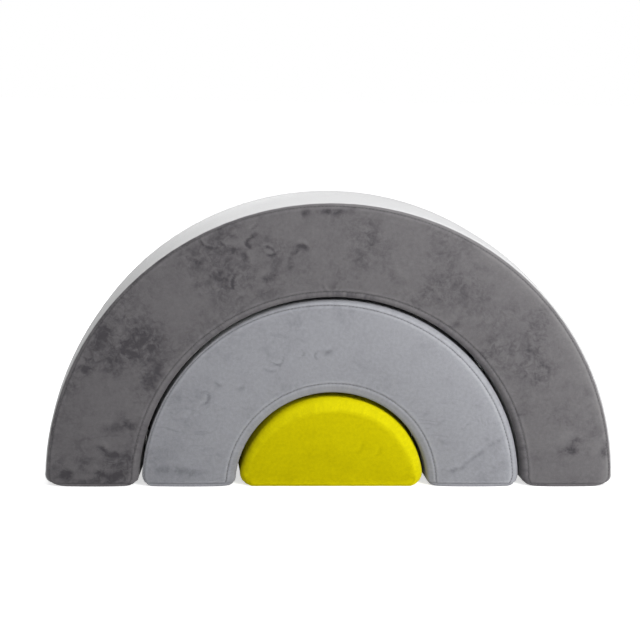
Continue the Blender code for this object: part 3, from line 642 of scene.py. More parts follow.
def velvet_group():
    """Brushed velvet: where the pile lies over and looks darker or paler, and its fine nap.

    Soft mottling comes from a bent noise, finger strokes from a noise drawn out along a bent
    direction, and crescents from parts of rings round scattered points. Painted light lies on top:
    an input of painted light makes the cloth paler, each seam crease takes painted shade, and the
    roll beside it a painted highlight.
    """
    tree = bpy.data.node_groups.new("velvet", "ShaderNodeTree")
    for name, kind in (
        ("Place", "NodeSocketVector"),
        ("Colour", "NodeSocketColor"),
        ("Laid Over", "NodeSocketColor"),
        ("Raised", "NodeSocketColor"),
        ("Mottling", "NodeSocketFloat"),
        ("Strokes", "NodeSocketFloat"),
        ("Marks", "NodeSocketFloat"),
        ("Painted Light", "NodeSocketFloat"),
        ("Seam Distance", "NodeSocketFloat"),
    ):
        tree.interface.new_socket(name, in_out="INPUT", socket_type=kind)
    for name, kind in (("Colour", "NodeSocketColor"), ("Roughness", "NodeSocketFloat"), ("Height", "NodeSocketFloat")):
        tree.interface.new_socket(name, in_out="OUTPUT", socket_type=kind)
    given = tree.nodes.new("NodeGroupInput").outputs
    place = given["Place"]
    drift = noise(tree, place, 7.0, 2.0).outputs["Color"]
    drift = add_node(tree, "ShaderNodeVectorMath", {0: drift, 1: (0.5, 0.5, 0.5)}, operation="SUBTRACT").outputs[0]
    drift = add_node(tree, "ShaderNodeVectorMath", {0: drift, "Scale": 0.05}, operation="SCALE").outputs[0]
    bent = add_node(tree, "ShaderNodeVectorMath", {0: place, 1: drift}, operation="ADD").outputs[0]

    broad = stepped(tree, noise(tree, bent, 5.5, 3.0, 0.6).outputs[0], 0.42, 0.66)
    cloud = stepped(tree, noise(tree, bent, 24.0, 6.0, 0.70, 0.3).outputs[0], 0.36, 0.68)
    curds = stepped(tree, noise(tree, place, 74.0, 5.0, 0.68, 0.7).outputs[0], 0.36, 0.66)
    both = reckon(tree, "ADD", reckon(tree, "MULTIPLY", cloud, 0.75), reckon(tree, "MULTIPLY", curds, 0.65))
    mottled = reckon(tree, "MULTIPLY", both, reckon(tree, "ADD", broad, 0.30))
    mottled = reckon(tree, "SUBTRACT", mottled, 0.40)

    drawn = add_node(tree, "ShaderNodeMapping", {"Vector": bent, "Rotation": (0, 0, 0.7), "Scale": (22, 95, 1)})
    strokes = stepped(tree, noise(tree, drawn.outputs[0], 1.0, 1.0, 0.4, 1.1).outputs[0], 0.60, 0.78)
    rings = add_node(tree, "ShaderNodeTexVoronoi", {"Vector": bent, "Scale": 17.0}, feature="F1").outputs["Distance"]
    rim = stepped(tree, reckon(tree, "ABSOLUTE", reckon(tree, "SUBTRACT", rings, 0.36)), 0.02, 0.10, 1.0, 0.0)
    broken = stepped(tree, noise(tree, place, 24.0, 0.0).outputs[0], 0.56, 0.70)
    crescents = reckon(tree, "MULTIPLY", rim, broken)
    clusters = stepped(tree, noise(tree, place, 4.2, 1.0).outputs[0], 0.44, 0.62)
    fingers = reckon(tree, "MULTIPLY", reckon(tree, "MAXIMUM", strokes, crescents), clusters)

    laid = reckon(tree, "MULTIPLY", mottled, given["Mottling"])
    laid = reckon(tree, "ADD", laid, reckon(tree, "MULTIPLY", fingers, given["Strokes"]))
    worn_marks = reckon(tree, "MULTIPLY", given["Marks"], reckon(tree, "ADD", both, 0.6))
    # The input of painted light makes the cloth paler where a highlight or side light is painted.
    laid = reckon(tree, "SUBTRACT", reckon(tree, "ADD", laid, worn_marks), given["Painted Light"])

    nap = noise(tree, place, 620.0, 2.0, 0.6).outputs[0]
    tufts = noise(tree, place, 140.0, 2.0, 0.6).outputs[0]
    fine = reckon(tree, "ADD", reckon(tree, "MULTIPLY", nap, 0.5), reckon(tree, "MULTIPLY", tufts, 0.5))
    dark_share = reckon(tree, "ADD", laid, 0.0, clamp=True)
    pale_share = reckon(tree, "MULTIPLY", laid, -1.0, clamp=True)
    colour = colour_mix(tree, dark_share, given["Colour"], given["Laid Over"])
    colour = colour_mix(tree, pale_share, colour, given["Raised"])
    grain = stepped(tree, fine, 0.35, 0.65, 0.93, 1.07)
    seam = given["Seam Distance"]
    # Painted shade in each seam crease, and a painted highlight on the roll beside it.
    painted_seam_shade = stepped(tree, seam, 0.0003, 0.0016, 0.88, 1.0)
    roll = reckon(tree, "MULTIPLY", stepped(tree, seam, 0.0012, 0.003), stepped(tree, seam, 0.004, 0.009, 0.13, 0.0))
    shade = reckon(tree, "MULTIPLY", reckon(tree, "MULTIPLY", grain, painted_seam_shade), reckon(tree, "ADD", roll, 1.0))
    colour = add_node(tree, "ShaderNodeVectorMath", {0: colour, "Scale": shade}, operation="SCALE").outputs[0]
    result = tree.nodes.new("NodeGroupOutput").inputs
    tree.links.new(colour, result["Colour"])
    tree.links.new(stepped(tree, laid, -0.5, 0.8, 0.72, 0.9), result["Roughness"])
    height = reckon(tree, "SUBTRACT", fine, reckon(tree, "MULTIPLY", laid, 0.35))
    tree.links.new(height, result["Height"])
    return tree


VELVET = velvet_group()
# Painted sheen: between these facing values the colour turns pale, as if light were caught on the pile's tips.
PAINTED_SHEEN_START = 0.25
PAINTED_SHEEN_FULL = 0.76


def velvet(name, colour, laid, raised, mottling, strokes, sheen, sheen_tint, sheen_spread, sheen_paint_colour, gloss=0.18):
    """A velvet finish with its own colours and its own amount of brushing.

    Seen edge-on, the cloth turns to a pale painted sheen colour, which stands in for light caught on the pile's tips.
    """
    finish = bpy.data.materials.new(name)
    finish.use_nodes = True
    tree = finish.node_tree
    shader = tree.nodes["Principled BSDF"]
    inputs = {
        "Place": add_node(tree, "ShaderNodeUVMap", uv_map="cloth").outputs[0],
        "Colour": (*colour, 1),
        "Laid Over": (*laid, 1),
        "Raised": (*raised, 1),
        "Mottling": mottling,
        "Strokes": strokes,
        "Marks": add_node(tree, "ShaderNodeAttribute", attribute_name="marks").outputs["Fac"],
        "Painted Light": add_node(tree, "ShaderNodeAttribute", attribute_name="lean").outputs["Fac"],
        "Seam Distance": add_node(tree, "ShaderNodeAttribute", attribute_name="seam").outputs["Fac"],
    }
    brushed = tree.nodes.new("ShaderNodeGroup")
    brushed.node_tree = VELVET
    for key, value in inputs.items():
        if isinstance(value, bpy.types.NodeSocket):
            tree.links.new(value, brushed.inputs[key])
        else:
            brushed.inputs[key].default_value = value
    bump = add_node(tree, "ShaderNodeBump", {"Height": brushed.outputs["Height"], "Strength": 0.5, "Distance": 0.0012})
    # Painted sheen: seen edge-on, the colour is mixed towards a pale colour where the tips attribute allows.
    edge_on = add_node(tree, "ShaderNodeLayerWeight", {"Blend": 0.5}).outputs["Facing"]
    sheen_paint_here = add_node(tree, "ShaderNodeAttribute", attribute_name="tips").outputs["Fac"]
    tips = reckon(tree, "MULTIPLY", stepped(tree, edge_on, PAINTED_SHEEN_START, PAINTED_SHEEN_FULL), sheen_paint_here)
    tree.links.new(colour_mix(tree, tips, brushed.outputs["Colour"], (*sheen_paint_colour, 1)), shader.inputs["Base Color"])
    tree.links.new(brushed.outputs["Roughness"], shader.inputs["Roughness"])
    tree.links.new(bump.outputs[0], shader.inputs["Normal"])
    shader.inputs["Specular IOR Level"].default_value = gloss
    shader.inputs["Sheen Weight"].default_value = sheen
    shader.inputs["Sheen Roughness"].default_value = sheen_spread
    shader.inputs["Sheen Tint"].default_value = (*sheen_tint, 1)
    return finish


DARK_GREY = velvet(
    "dark_grey_velvet",
    colour=(0.122, 0.116, 0.122),
    laid=(0.060, 0.056, 0.062),
    raised=(0.170, 0.164, 0.168),
    mottling=0.85,
    strokes=0.28,
    sheen=0.35,
    sheen_tint=(1, 1, 1),
    sheen_spread=0.35,
    sheen_paint_colour=(0.60, 0.60, 0.605),
)
OUTER_MARKS = (
    (-0.182, 0.514, 0.013, 0.0045, 90, -0.9, 1.0),
    (-0.168, 0.544, 0.012, 0.0030, 40, 0.2, 0.8),
    (-0.166, 0.531, 0.008, 0.0060, 20, 0.0, 0.8),
    (-0.184, 0.485, 0.010, 0.0060, -60, 0.0, 0.8),
    (-0.208, 0.525, 0.007, 0.0070, 0, 0.0, 0.7),
    (-0.211, 0.500, 0.015, 0.0070, -8, 0.0, 0.9),
    (-0.230, 0.510, 0.008, 0.0030, -35, 0.0, 0.8),
    (-0.264, 0.506, 0.018, 0.0026, -28, 0.3, 0.9),
    (-0.284, 0.475, 0.008, 0.0040, -35, 0.0, 0.5),
    (-0.210, 0.435, 0.017, 0.0028, 82, -0.25, 1.0),
    (-0.138, 0.506, 0.014, 0.0032, -12, -0.5, 0.9),
    (-0.132, 0.489, 0.014, 0.0032, 2, 0.4, 0.9),
    (-0.133, 0.443, 0.018, 0.0100, 38, 0.2, 0.75),
    (-0.091, 0.479, 0.022, 0.0070, 80, 0.0, 0.5),
    (-0.069, 0.508, 0.013, 0.0060, -10, -0.2, 0.9),
    (-0.079, 0.498, 0.008, 0.0040, 60, 0.0, 0.6),
    (-0.064, 0.577, 0.010, 0.0080, 30, 0.0, 0.6),
    (-0.011, 0.580, 0.030, 0.0060, -2, 0.0, 0.55),
    (-0.021, 0.418, 0.010, 0.0030, -65, 0.0, 0.6),
    (-0.134, 0.410, 0.030, 0.0160, 10, 0.0, 0.35),
    (-0.422, 0.288, 0.065, 0.0350, 40, 0.0, 0.40),
    (-0.375, 0.237, 0.030, 0.0200, 40, 0.0, 0.45),
    (-0.479, 0.319, 0.026, 0.0120, 62, 0.0, 0.6),
    (-0.501, 0.262, 0.018, 0.0140, 80, 0.0, 0.4),
    (-0.457, 0.124, 0.022, 0.0120, 10, 0.0, 0.42),
    (-0.419, 0.132, 0.014, 0.0100, -20, 0.0, 0.6),
    (-0.477, 0.080, 0.011, 0.0080, -35, 0.0, 0.9),
    (-0.456, 0.069, 0.014, 0.0065, 5, 0.0, 0.45),
    (-0.551, 0.029, 0.016, 0.0100, -25, 0.0, 0.8),
    (-0.484, 0.025, 0.012, 0.0100, 30, 0.0, 0.9),
    (-0.514, 0.013, 0.030, 0.0060, 0, 0.0, 0.6),
    (-0.455, 0.021, 0.018, 0.0080, 20, 0.0, 0.6),
    (0.506, 0.094, 0.018, 0.0130, 35, 0.0, 0.8),
    (0.498, 0.079, 0.020, 0.0080, 5, 0.0, 0.6),
    (0.576, 0.083, 0.018, 0.0120, 85, 0.0, 0.7),
    (0.125, 0.440, 0.022, 0.0100, -35, 0.3, 0.4),
    (0.245, 0.345, 0.024, 0.0080, 30, 0.3, 0.4),
)


def outer_arch_outer_seam(angle):
    """The seam's radius as sewn: fullest just left of the top."""
    return 0.5875 + 0.0052 * hill(angle, math.radians(118), math.radians(34))


def outer_arch_inner_seam(angle):
    """The seam's radius as sewn: a little tighter at the top."""
    return 0.4170 - 0.0025 * hill(angle, math.radians(92), math.radians(35))


OUTER_ARCH = ArchCover(
    outer=OUTER_RADIUS,
    inner=0.39875,
    outer_seam=outer_arch_outer_seam,
    inner_seam=outer_arch_inner_seam,
    roundings=(0.020, 0.006),
    leans=(20, 12),
    outer_corner=(0.046, 0.023),
    inner_corner=(0.029, 0.021),
    zip_radius=0.4364,
    band_puffs=(FREE_PUFF, 0.0),
    band_painted_sheen=((1.0, 1.0), (0.25, 0.010)),
)
PANEL_SHIFTS = {
    "front_panel": (0.0, 0.0),
    "outer_band": (3.1, 1.7),
    "back_panel": (7.3, 2.2),
    "back_facing": (9.4, 4.1),
    "inner_band": (5.7, 6.3),
    "foot": (11.2, 8.5),
}


def add_arch_cover(block, cover, finish, shift, marks):
    """All seven panels of an arch's cover, and the lines of its seams for the stitches."""
    puff = cover.puff(block + "_filled_cover")
    seams = {}
    for panel in cover.widths():
        offset = np.array(PANEL_SHIFTS[panel]) + shift
        piece, points, moved = add_cover_panel(block, cover, panel, puff, finish, offset, marks.get(panel, ()))
        thickened(piece, block, [f"{block}_{panel}"])
        seams[panel] = (points, moved)
    rings = [(panel, cover.columns(panel)[None, :-1]) for panel in cover.widths()]
    for side, label in ((1, "right"), (-1, "left")):
        end = np.array([[FOOT_SEAM / cover.middle if side > 0 else np.pi - FOOT_SEAM / cover.middle]])
        loop = [np.concatenate(parts, axis=1)[0] for parts in zip(*(
            np.broadcast_arrays(*cover.panel(panel, end, share)) for panel, share in rings
        ))]
        offset = np.array(PANEL_SHIFTS["foot"]) + shift
        piece = add_foot(block, cover, side, loop, finish, offset)
        thickened(piece, block, [f"{block}_{label}_foot"])
    return seams


OUTER_SEAMS = add_arch_cover(
    "outer_arch", OUTER_ARCH, DARK_GREY, 0.0, {"front_panel": OUTER_MARKS}
)

# Middle arch cover
# The middle block's cover is light grey velvet, sewn in the same way. Its rounded edges are
# fuller, because its foam is cut a little larger than its faces.
LIGHT_GREY = velvet(
    "light_grey_velvet",
    colour=(0.272, 0.276, 0.298),
    laid=(0.185, 0.188, 0.206),
    raised=(0.340, 0.345, 0.370),
    mottling=0.45,
    strokes=0.40,
    sheen=0.15,
    sheen_tint=(1, 1, 1),
    sheen_spread=0.35,
    sheen_paint_colour=(0.62, 0.62, 0.62),
)
MIDDLE_MARKS = (
    (-0.111, 0.262, 0.014, 0.0030, 25, 0.9, 0.9),
    (-0.131, 0.248, 0.012, 0.0028, -5, 0.3, 0.6),
    (-0.040, 0.283, 0.010, 0.0030, 80, -0.7, 0.7),
    (-0.012, 0.288, 0.012, 0.0060, 15, 0.3, 0.5),
    (-0.063, 0.283, 0.008, 0.0030, 70, 0.8, 0.5),
    (-0.258, 0.187, 0.014, 0.0040, 70, 0.5, 0.8),
    (-0.267, 0.204, 0.006, 0.0030, 0, 0.0, 0.5),
    (-0.238, 0.218, 0.008, 0.0045, -30, 0.3, 0.6),
    (-0.190, 0.212, 0.010, 0.0050, 30, 0.2, 0.35),
    (-0.333, 0.036, 0.040, 0.0100, 0, 0.0, 0.45),
    (-0.281, 0.031, 0.020, 0.0060, 5, 0.0, 0.4),
    (0.262, 0.038, 0.018, 0.0050, 15, 0.0, 0.55),
    (0.300, 0.066, 0.030, 0.0045, 38, 0.0, 0.45),
    (0.345, 0.098, 0.018, 0.0050, 25, 0.0, 0.40),
    (0.276, 0.130, 0.009, 0.0022, 35, 0.2, 0.45),
    (0.303, 0.146, 0.008, 0.0020, -50, 0.0, 0.45),
    (0.315, 0.141, 0.009, 0.0020, -48, 0.0, 0.45),
    (0.327, 0.137, 0.008, 0.0020, -52, 0.0, 0.40),
    (0.340, 0.136, 0.009, 0.0022, -45, 0.0, 0.35),
)


def middle_arch_outer_seam(angle):
    """The seam's radius as sewn: further out on the left than on the right."""
    return 0.3825 + 0.0095 * eased(angle, math.radians(55), math.radians(140))


def middle_arch_inner_seam(angle):
    """The seam's radius as sewn."""
    return 0.2205 + 0.0015 * hill(angle, math.radians(60), math.radians(40))


MIDDLE_ARCH = ArchCover(
    outer=0.39863,
    inner=0.1975,
    outer_seam=middle_arch_outer_seam,
    inner_seam=middle_arch_inner_seam,
    roundings=(0.010, 0.006),
    leans=(10, 14),
    outer_corner=(0.024, 0.028),
    inner_corner=(0.018, 0.018),
    zip_radius=0.2394,
    band_puffs=(0.0, 0.0),
    band_painted_sheen=((0.45, 0.009), (0.30, 0.014)),
)
MIDDLE_SEAMS = add_arch_cover(
    "middle_arch", MIDDLE_ARCH, LIGHT_GREY, 23.0, {"front_panel": MIDDLE_MARKS}
)

# Half round cover
# The smallest block is a solid half round in yellow velvet. Its face runs softly into a wide
# rounded edge, and a band and a base panel close it all round.
YELLOW = velvet(
    "yellow_velvet",
    colour=(0.520, 0.455, 0.0006),
    laid=(0.400, 0.345, 0.0004),
    raised=(0.700, 0.630, 0.0030),
    mottling=0.28,
    strokes=0.22,
    sheen=0.12,
    sheen_tint=(1, 0.94, 0.02),
    sheen_spread=0.35,
    sheen_paint_colour=(0.780, 0.710, 0.060),
    gloss=0.03,
)
HALF_ROUND_SINK = 0.0002
CROWN_RISE = 0.030
EDGE_LEAN = math.radians(23)
EDGE_ROUNDING = 0.016
EDGE_REACH = 0.048
MOUTH_SLACK = 0.006
# Painted sheen on the yellow band beside its seams.
YELLOW_PAINTED_SHEEN = 0.60
YELLOW_PAINTED_SHEEN_REACH = 0.026
# A painted highlight on the yellow block's rounded edge.
YELLOW_EDGE_HIGHLIGHT = 0.8
HIDDEN_SEAM = 0.05
YELLOW_SHIFT = 41.0


class HalfRoundCover:
    """The half round's outline, by the distance along it from the right foot seam upwards."""

    def __init__(self, radius, corner, edge, base_edge, zip_height):
        self.radius = radius - BAND_CROWN
        self.corner = corner
        self.edge_size = edge
        self.base_edge = base_edge
        self.zip_height = zip_height
        reach = self.radius - corner
        self.centre_x = math.sqrt(reach**2 - corner**2)
        low = math.acos(1 - FOOT_SEAM / corner) - np.pi / 2
        high = math.atan2(corner, self.centre_x)
        self.turns = np.array([low, high, np.pi - high, np.pi - low, 1.5 * np.pi, 1.5 * np.pi, 2 * np.pi + low])
        sides = [corner, self.radius, corner, corner]
        lengths = [radius_ * turn for radius_, turn in zip(sides, np.diff(self.turns))]
        lengths += [2 * self.centre_x, corner * (low + np.pi / 2)]
        self.knots = np.concatenate([[0], np.cumsum(lengths)])
        self.band_length = float(self.knots[3])
        self.length = float(self.knots[-1])
        self.middle = (0.0, 0.42 * self.radius)

    def outline(self, along):
        """The outline's points, outward directions and edge sizes at distances along it."""
        along = np.mod(along, self.length)
        turn = np.interp(along, self.knots, self.turns)
        out = np.stack([np.cos(turn), np.sin(turn)], axis=-1)
        on_arc = (along >= self.knots[1]) & (along <= self.knots[2])
        centre_x = np.interp(along, self.knots[3:6], [-self.centre_x, -self.centre_x, self.centre_x])
        centre_x = np.where(along < self.knots[1], self.centre_x, centre_x)
        centre_x = np.where(on_arc, 0, centre_x)
        centre = np.stack([centre_x, np.where(on_arc, 0, self.corner)], axis=-1)
        points = centre + out * np.where(on_arc, self.radius, self.corner)[:, None]
        from_base = np.abs(np.mod(turn - 0.5 * np.pi, 2 * np.pi) - np.pi)
        share = np.minimum(1, from_base / (np.pi / 2 + self.turns[1]))
        wander = 0.009 * hill(turn, 1.67, 0.62) - 0.004 * eased(turn, 2.2, 3.0) * eased(turn, 4.2, 3.4)
        wander = wander - 0.004 * eased(np.cos(turn), 0.86, 0.98)
        return points, out, self.base_edge + (self.edge_size + wander - self.base_edge) * share

    def mouth_slack(self, along):
        """How far the band draws in beside its seams: most over the upper left, none at the feet."""
        turn = np.interp(np.mod(along, self.length), self.knots, self.turns)
        return MOUTH_SLACK * eased(turn, 0.6, 1.6) * eased(turn, 3.1, 2.5)

    def band(self, along, share, puff):
        """The band, or the base where along runs over the bottom: rows along and columns back."""
        points, out, edge = self.outline(along)
        slack = self.mouth_slack(along)[:, None]
        height, depth = band_profile(share[None, :], edge[:, None] - slack, EDGE_ROUNDING, EDGE_LEAN)
        inwards = edge[:, None] - slack + slack * (depth / SEAM_DEPTH) ** 2
        flat = points[:, None] + out[:, None] * (height - inwards)[..., None]
        made = np.stack([flat[..., 0], depth, flat[..., 1]], axis=-1)
        return made if puff is None else made + self.puff_at(puff["band"], along, share)

    def face(self, along, share, side, puff=None):
        """A face: rings from the seam (share 1) to the middle.

        Its crown is a product of two that start level: one rises with the way in from the arc, one
        from the base.
        """
        points, out, edge = self.outline(along)
        seam = points - out * edge[:, None]
        flat = self.middle + (seam[None] - self.middle) * share[:, None, None]
        from_arc = (1 - share[:, None]) * np.linalg.norm(seam - self.middle, axis=-1)
        from_base = np.maximum(flat[..., 1] - self.base_edge, 0)
        rise = (1 - hill(from_arc, 0, CROWN_RISE)) * (1 - hill(from_base, 0, CROWN_RISE))
        depth = side * (SEAM_DEPTH + 0.5 * FACE_CROWN * rise)
        made = np.stack([flat[..., 0], depth, flat[..., 1]], axis=-1)
        if puff is None:
            return made
        return made + self.puff_at(puff["face"], along, share).transpose(1, 0, 2)

    def puff_at(self, ways, along, share):
        """The filled cover's way at distances along the outline and shares across it."""
        count = len(ways) - 1
        joined = np.concatenate([ways[-3:-1], ways, ways[1:3]])
        rows = eased_rows(joined, 2 + np.mod(along, self.length) / self.length * count)
        return eased_rows(rows.transpose(1, 0, 2), share * (ways.shape[1] - 1)).transpose(1, 0, 2)

    def puff(self, name):
        """The way each coarse point moves when the cover is filled, from a closed grid."""
        around = np.linspace(0, self.length, round(self.length / PUFF_CELL) + 1)[:-1]
        rings = np.linspace(0, 1, 19)[1:]
        across = np.linspace(0, 1, round(2 * SEAM_DEPTH / PUFF_CELL) + 1)
        back = self.face(around, rings, 1)
        band = self.band(around, across, None).transpose(1, 0, 2)[::-1]
        front = self.face(around, rings[::-1], -1)
        points = np.concatenate([back, band[1:], front[1:]])
        upright = eased(self.outline(around)[0][:, 1], 0.004, 0.05)
        face_limit = PUFF_LIMIT * eased(1 - rings, 0, 0.12)[:, None] * np.ones(len(around))
        band_limit = np.zeros((len(across), len(around)))
        limit = np.concatenate([face_limit, band_limit[1:], face_limit[::-1][1:]])
        held = np.zeros(points.shape[:2], bool)
        held[len(back) - 1] = held[-len(front)] = True
        held[len(back) - 1:len(points) - len(front) + 1] |= upright == 0
        way = puffed(name, points, held, limit)
        way[held] = 0
        way = np.concatenate([way, way[:, :1]], axis=1)
        start = np.zeros((1, way.shape[1], 3)) + way[-1:].mean(axis=1, keepdims=True)
        face_way = np.concatenate([start, way[-len(front):][::-1]])
        steady = face_way.mean(axis=1, keepdims=True)
        spread = eased(np.concatenate([[0], rings]), 0.0, 0.9)[:, None, None]
        face_way = steady + (face_way - steady) * spread
        band_way = way[len(back) - 1:len(back) - 1 + len(band)][::-1]
        return {"face": face_way.transpose(1, 0, 2), "band": band_way.transpose(1, 0, 2)}

    def zip_edge(self, x, side):
        """The cloth's edge above (side 1) or below (side -1) the zip at places across the back."""
        opened = eased(HALF_ROUND_ZIP_END + 0.012 - np.abs(x), 0, 0.012)
        return self.zip_height + side * (ZIP_SHUT + (ZIP_SLOT - ZIP_SHUT) * opened)

    def back(self, along, share, side):
        """A back panel: rows along the seam and columns from it to the zip, or the other way."""
        points, out, edge = self.outline(along)
        seam = points - out * edge[:, None]
        level = self.zip_edge(seam[:, 0], side)
        across = share if side > 0 else 1 - share
        z = seam[:, 1:] + (level - seam[:, 1])[:, None] * across
        padding = bulge(across * np.clip((np.abs(seam[:, 1:] - level[:, None])) / 0.05, 0, 1))
        depth = SEAM_DEPTH + (FACE_CROWN * padding if side > 0 else 0 * z)
        return np.stack([seam[:, :1] + 0 * z, depth, z], axis=-1)


HALF_ROUND_ZIP_END = 0.12235
HALF_ROUND = HalfRoundCover(radius=0.19738, corner=0.026, edge=0.0235, base_edge=0.004, zip_height=0.03494)


def spaced(start, end, cell):
    """Distances from start to end, close together at both."""
    length = abs(end - start)
    return start + (end - start) * shares(length, cell)


def painted_edge_highlight(points):
    """The painted highlight on the rounded edge: strongest at the upper right, towards the lamp."""
    turn = np.arctan2(points[..., 2], points[..., 0])
    return YELLOW_EDGE_HIGHLIGHT * (0.6 + 0.45 * np.cos(turn - math.radians(50)))


def add_half_round_cover():
    """The yellow block's five cover panels."""
    block = HALF_ROUND
    puff = block.puff("half_round_filled_cover")
    band_across = shares(2 * SEAM_DEPTH, PLAIN_CELL, EDGE_REACH)
    zip_rise = block.zip_height - block.corner
    zip_along = float(block.knots[1]) + zip_rise
    spans = {
        "band": spaced(0, block.band_length, FRONT_CELL),
        "base": spaced(block.band_length, block.length, PLAIN_CELL),
        "back_panel": spaced(zip_along, block.band_length - zip_along, PLAIN_CELL),
        "back_facing": spaced(zip_along, block.band_length - zip_along - block.length, PLAIN_CELL),
    }
    grids = {
        "band": block.band(spans["band"], band_across, puff),
        "base": block.band(spans["base"], band_across, None),
        "back_panel": block.back(spans["back_panel"], shares(0.12, PLAIN_CELL), 1),
        "back_facing": block.back(spans["back_facing"], shares(0.03, PLAIN_CELL), -1),
    }
    kept = {}
    for panel, points in grids.items():
        near, far = edge_distances(points)
        end = np.minimum(np.abs(spans[panel] - spans[panel][0]), np.abs(spans[panel] - spans[panel][-1]))
        foot = end[:, None] + 0 * near if panel in ("band", "base") else 0 * near + 1
        along = spans[panel][:, None] + 0 * near
        sink = HALF_ROUND_SINK if panel in ("band", "base") else SEAM_SINK * 0.6
        moved, closest = drawn_into_seams(points, near, far, foot, along, sink)
        banded = panel in ("band", "base")
        flat = np.stack([along, points[..., 1]], axis=-1) if banded else points[..., [0, 2]]
        shown_seam = HIDDEN_SEAM + 0 * closest if panel == "band" else closest
        tips = painted_sheen_share(np.minimum(near, far), YELLOW_PAINTED_SHEEN if panel == "band" else 0.0, YELLOW_PAINTED_SHEEN_REACH)
        lean = 0 * closest
        # On the band, lean holds a painted highlight.
        if banded:
            lean = painted_edge_highlight(moved) * (0.6 + 0.4 * eased(np.minimum(near, far), 0, 0.005))
        values = {"seam": shown_seam, "marks": 0 * closest, "lean": lean, "tips": tips}
        faces = grid_faces(*moved.shape[:2])
        piece = add_piece(f"half_round_{panel}_cloth", moved, faces, YELLOW, flat + YELLOW_SHIFT, values)
        thickened(piece, "half_round", [f"half_round_{panel}"])
        kept[panel] = (points, moved)
    around = np.concatenate([spans["band"][:-1], spans["base"][:-1]])
    share = 1 - np.concatenate([np.array(SEAM_COLUMNS) / 0.17, np.linspace(0.06, 0.985, 46)])
    points = block.face(around, share, -1, puff)
    rim = ((1 - share) * 0.1)[:, None] + 0 * points[..., 0]
    far_off = 0 * rim + 1
    along = around[None, :] + 0 * rim
    looped = [np.concatenate([values, values[:, :1]], axis=1) for values in (points, rim, far_off, along)]
    moved, closest = drawn_into_seams(looped[0], looped[1], looped[2], looped[2], looped[3], HALF_ROUND_SINK)
    moved, closest = moved[:, :-1], closest[:, :-1]
    rows, columns = moved.shape[:2]
    ring = np.arange(columns) + (rows - 1) * columns
    fan = np.stack([ring, np.roll(ring, -1), np.full(columns, rows * columns)], axis=-1)
    points = np.concatenate([moved.reshape(-1, 3), [moved[-1].mean(axis=0)]])
    closest = np.where(around[None, :] > block.band_length, closest, HIDDEN_SEAM)
    closest = np.concatenate([closest.ravel(), [HIDDEN_SEAM]])
    # A softer painted highlight on the face just inside its seam.
    lean = 0.6 * painted_edge_highlight(points) * np.exp(-np.append(rim[:, 0].repeat(columns), 1) / 0.002)
    values = {"seam": closest, "marks": brush_marks(points, YELLOW_MARKS), "lean": lean, "tips": 0 * closest}
    faces = grid_faces(rows, columns, closed=True).tolist() + fan.tolist()
    piece = add_piece("half_round_front_panel_cloth", points, faces, YELLOW, points[:, [0, 2]] + YELLOW_SHIFT, values)
    thickened(piece, "half_round", ["half_round_front_panel"])
    return kept


YELLOW_MARKS = (
    (0.060, 0.080, 0.016, 0.0050, 50, 0.5, 0.35),
    (0.100, 0.075, 0.012, 0.0040, 70, 0.6, 0.35),
)
HALF_ROUND_SEAMS = add_half_round_cover()

# Foam cores
# Each cover is filled by one block of cut polyurethane foam. It lies just under the cloth, clear
# of the seams, and is cut in the cover's shape.
FOAM_DEPTH = 0.0062
FOAM_CELL = 0.012


def foam_finish():
    """Pale cut foam with open cells."""
    finish = bpy.data.materials.new("cut_foam")
    finish.use_nodes = True
    tree = finish.node_tree
    shader = tree.nodes["Principled BSDF"]
    place = add_node(tree, "ShaderNodeTexCoord").outputs["Object"]
    cells = add_node(tree, "ShaderNodeTexVoronoi", {"Vector": place, "Scale": 420.0}).outputs["Distance"]
    cloudy = noise(tree, place, 9.0, 3.0).outputs[0]
    # The cells are darker at their middles: painted shade in the open pores.
    shade = reckon(tree, "MULTIPLY", stepped(tree, cells, 0.1, 0.6, 0.85, 1.0), stepped(tree, cloudy, 0.3, 0.7, 0.95, 1.0))
    colour = colour_mix(tree, shade, (0.42, 0.38, 0.28, 1), (0.72, 0.69, 0.58, 1))
    tree.links.new(colour, shader.inputs["Base Color"])
    bump = add_node(tree, "ShaderNodeBump", {"Height": cells, "Strength": 0.6, "Distance": 0.001})
    tree.links.new(bump.outputs[0], shader.inputs["Normal"])
    shader.inputs["Roughness"].default_value = 0.95
    return finish


CUT_FOAM = foam_finish()


def add_foam(block, points):
    """A closed block of foam: a cover's grid of points, moved inwards and capped at both ends."""
    looped = np.concatenate([points, points[:, :1]], axis=1)
    moved = (looped - normals_of(looped) * FOAM_DEPTH)[:, :-1]
    rows, columns = moved.shape[:2]
    ends = [list(range(columns - 1, -1, -1)), list(range((rows - 1) * columns, rows * columns))]
    piece = add_piece(f"{block}_foam", moved, grid_faces(rows, columns, closed=True).tolist() + ends, CUT_FOAM)
    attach(piece, block)
    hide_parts(f"{block}_foam_core")


def arch_foam_points(cover):
    """An arch's section at even places, over all its panels and from foot to foot."""
    low = (FOOT_SEAM + 0.004) / cover.middle
    angle = np.linspace(low, np.pi - low, round(np.pi * cover.middle / FOAM_CELL))[:, None]
    parts = []
    for panel, width in cover.widths().items():
        share = np.linspace(0, 1, max(2, round(width / FOAM_CELL)) + 1)[None, :-1]
        parts.append(cover.place(*cover.panel(panel, angle, share), angle))
    return np.concatenate(parts, axis=1)


def half_round_foam_points(cover):
    """Rings over the half round's back, its band and base, and its front."""
    around = np.linspace(0, cover.length, round(cover.length / FOAM_CELL) + 1)[:-1]
    rings = np.linspace(0.1, 1, 8)
    band = cover.band(around, np.linspace(0, 1, 21), None).transpose(1, 0, 2)[::-1]
    return np.concatenate([cover.face(around, rings, 1), band[1:], cover.face(around, rings[::-1], -1)[1:]])


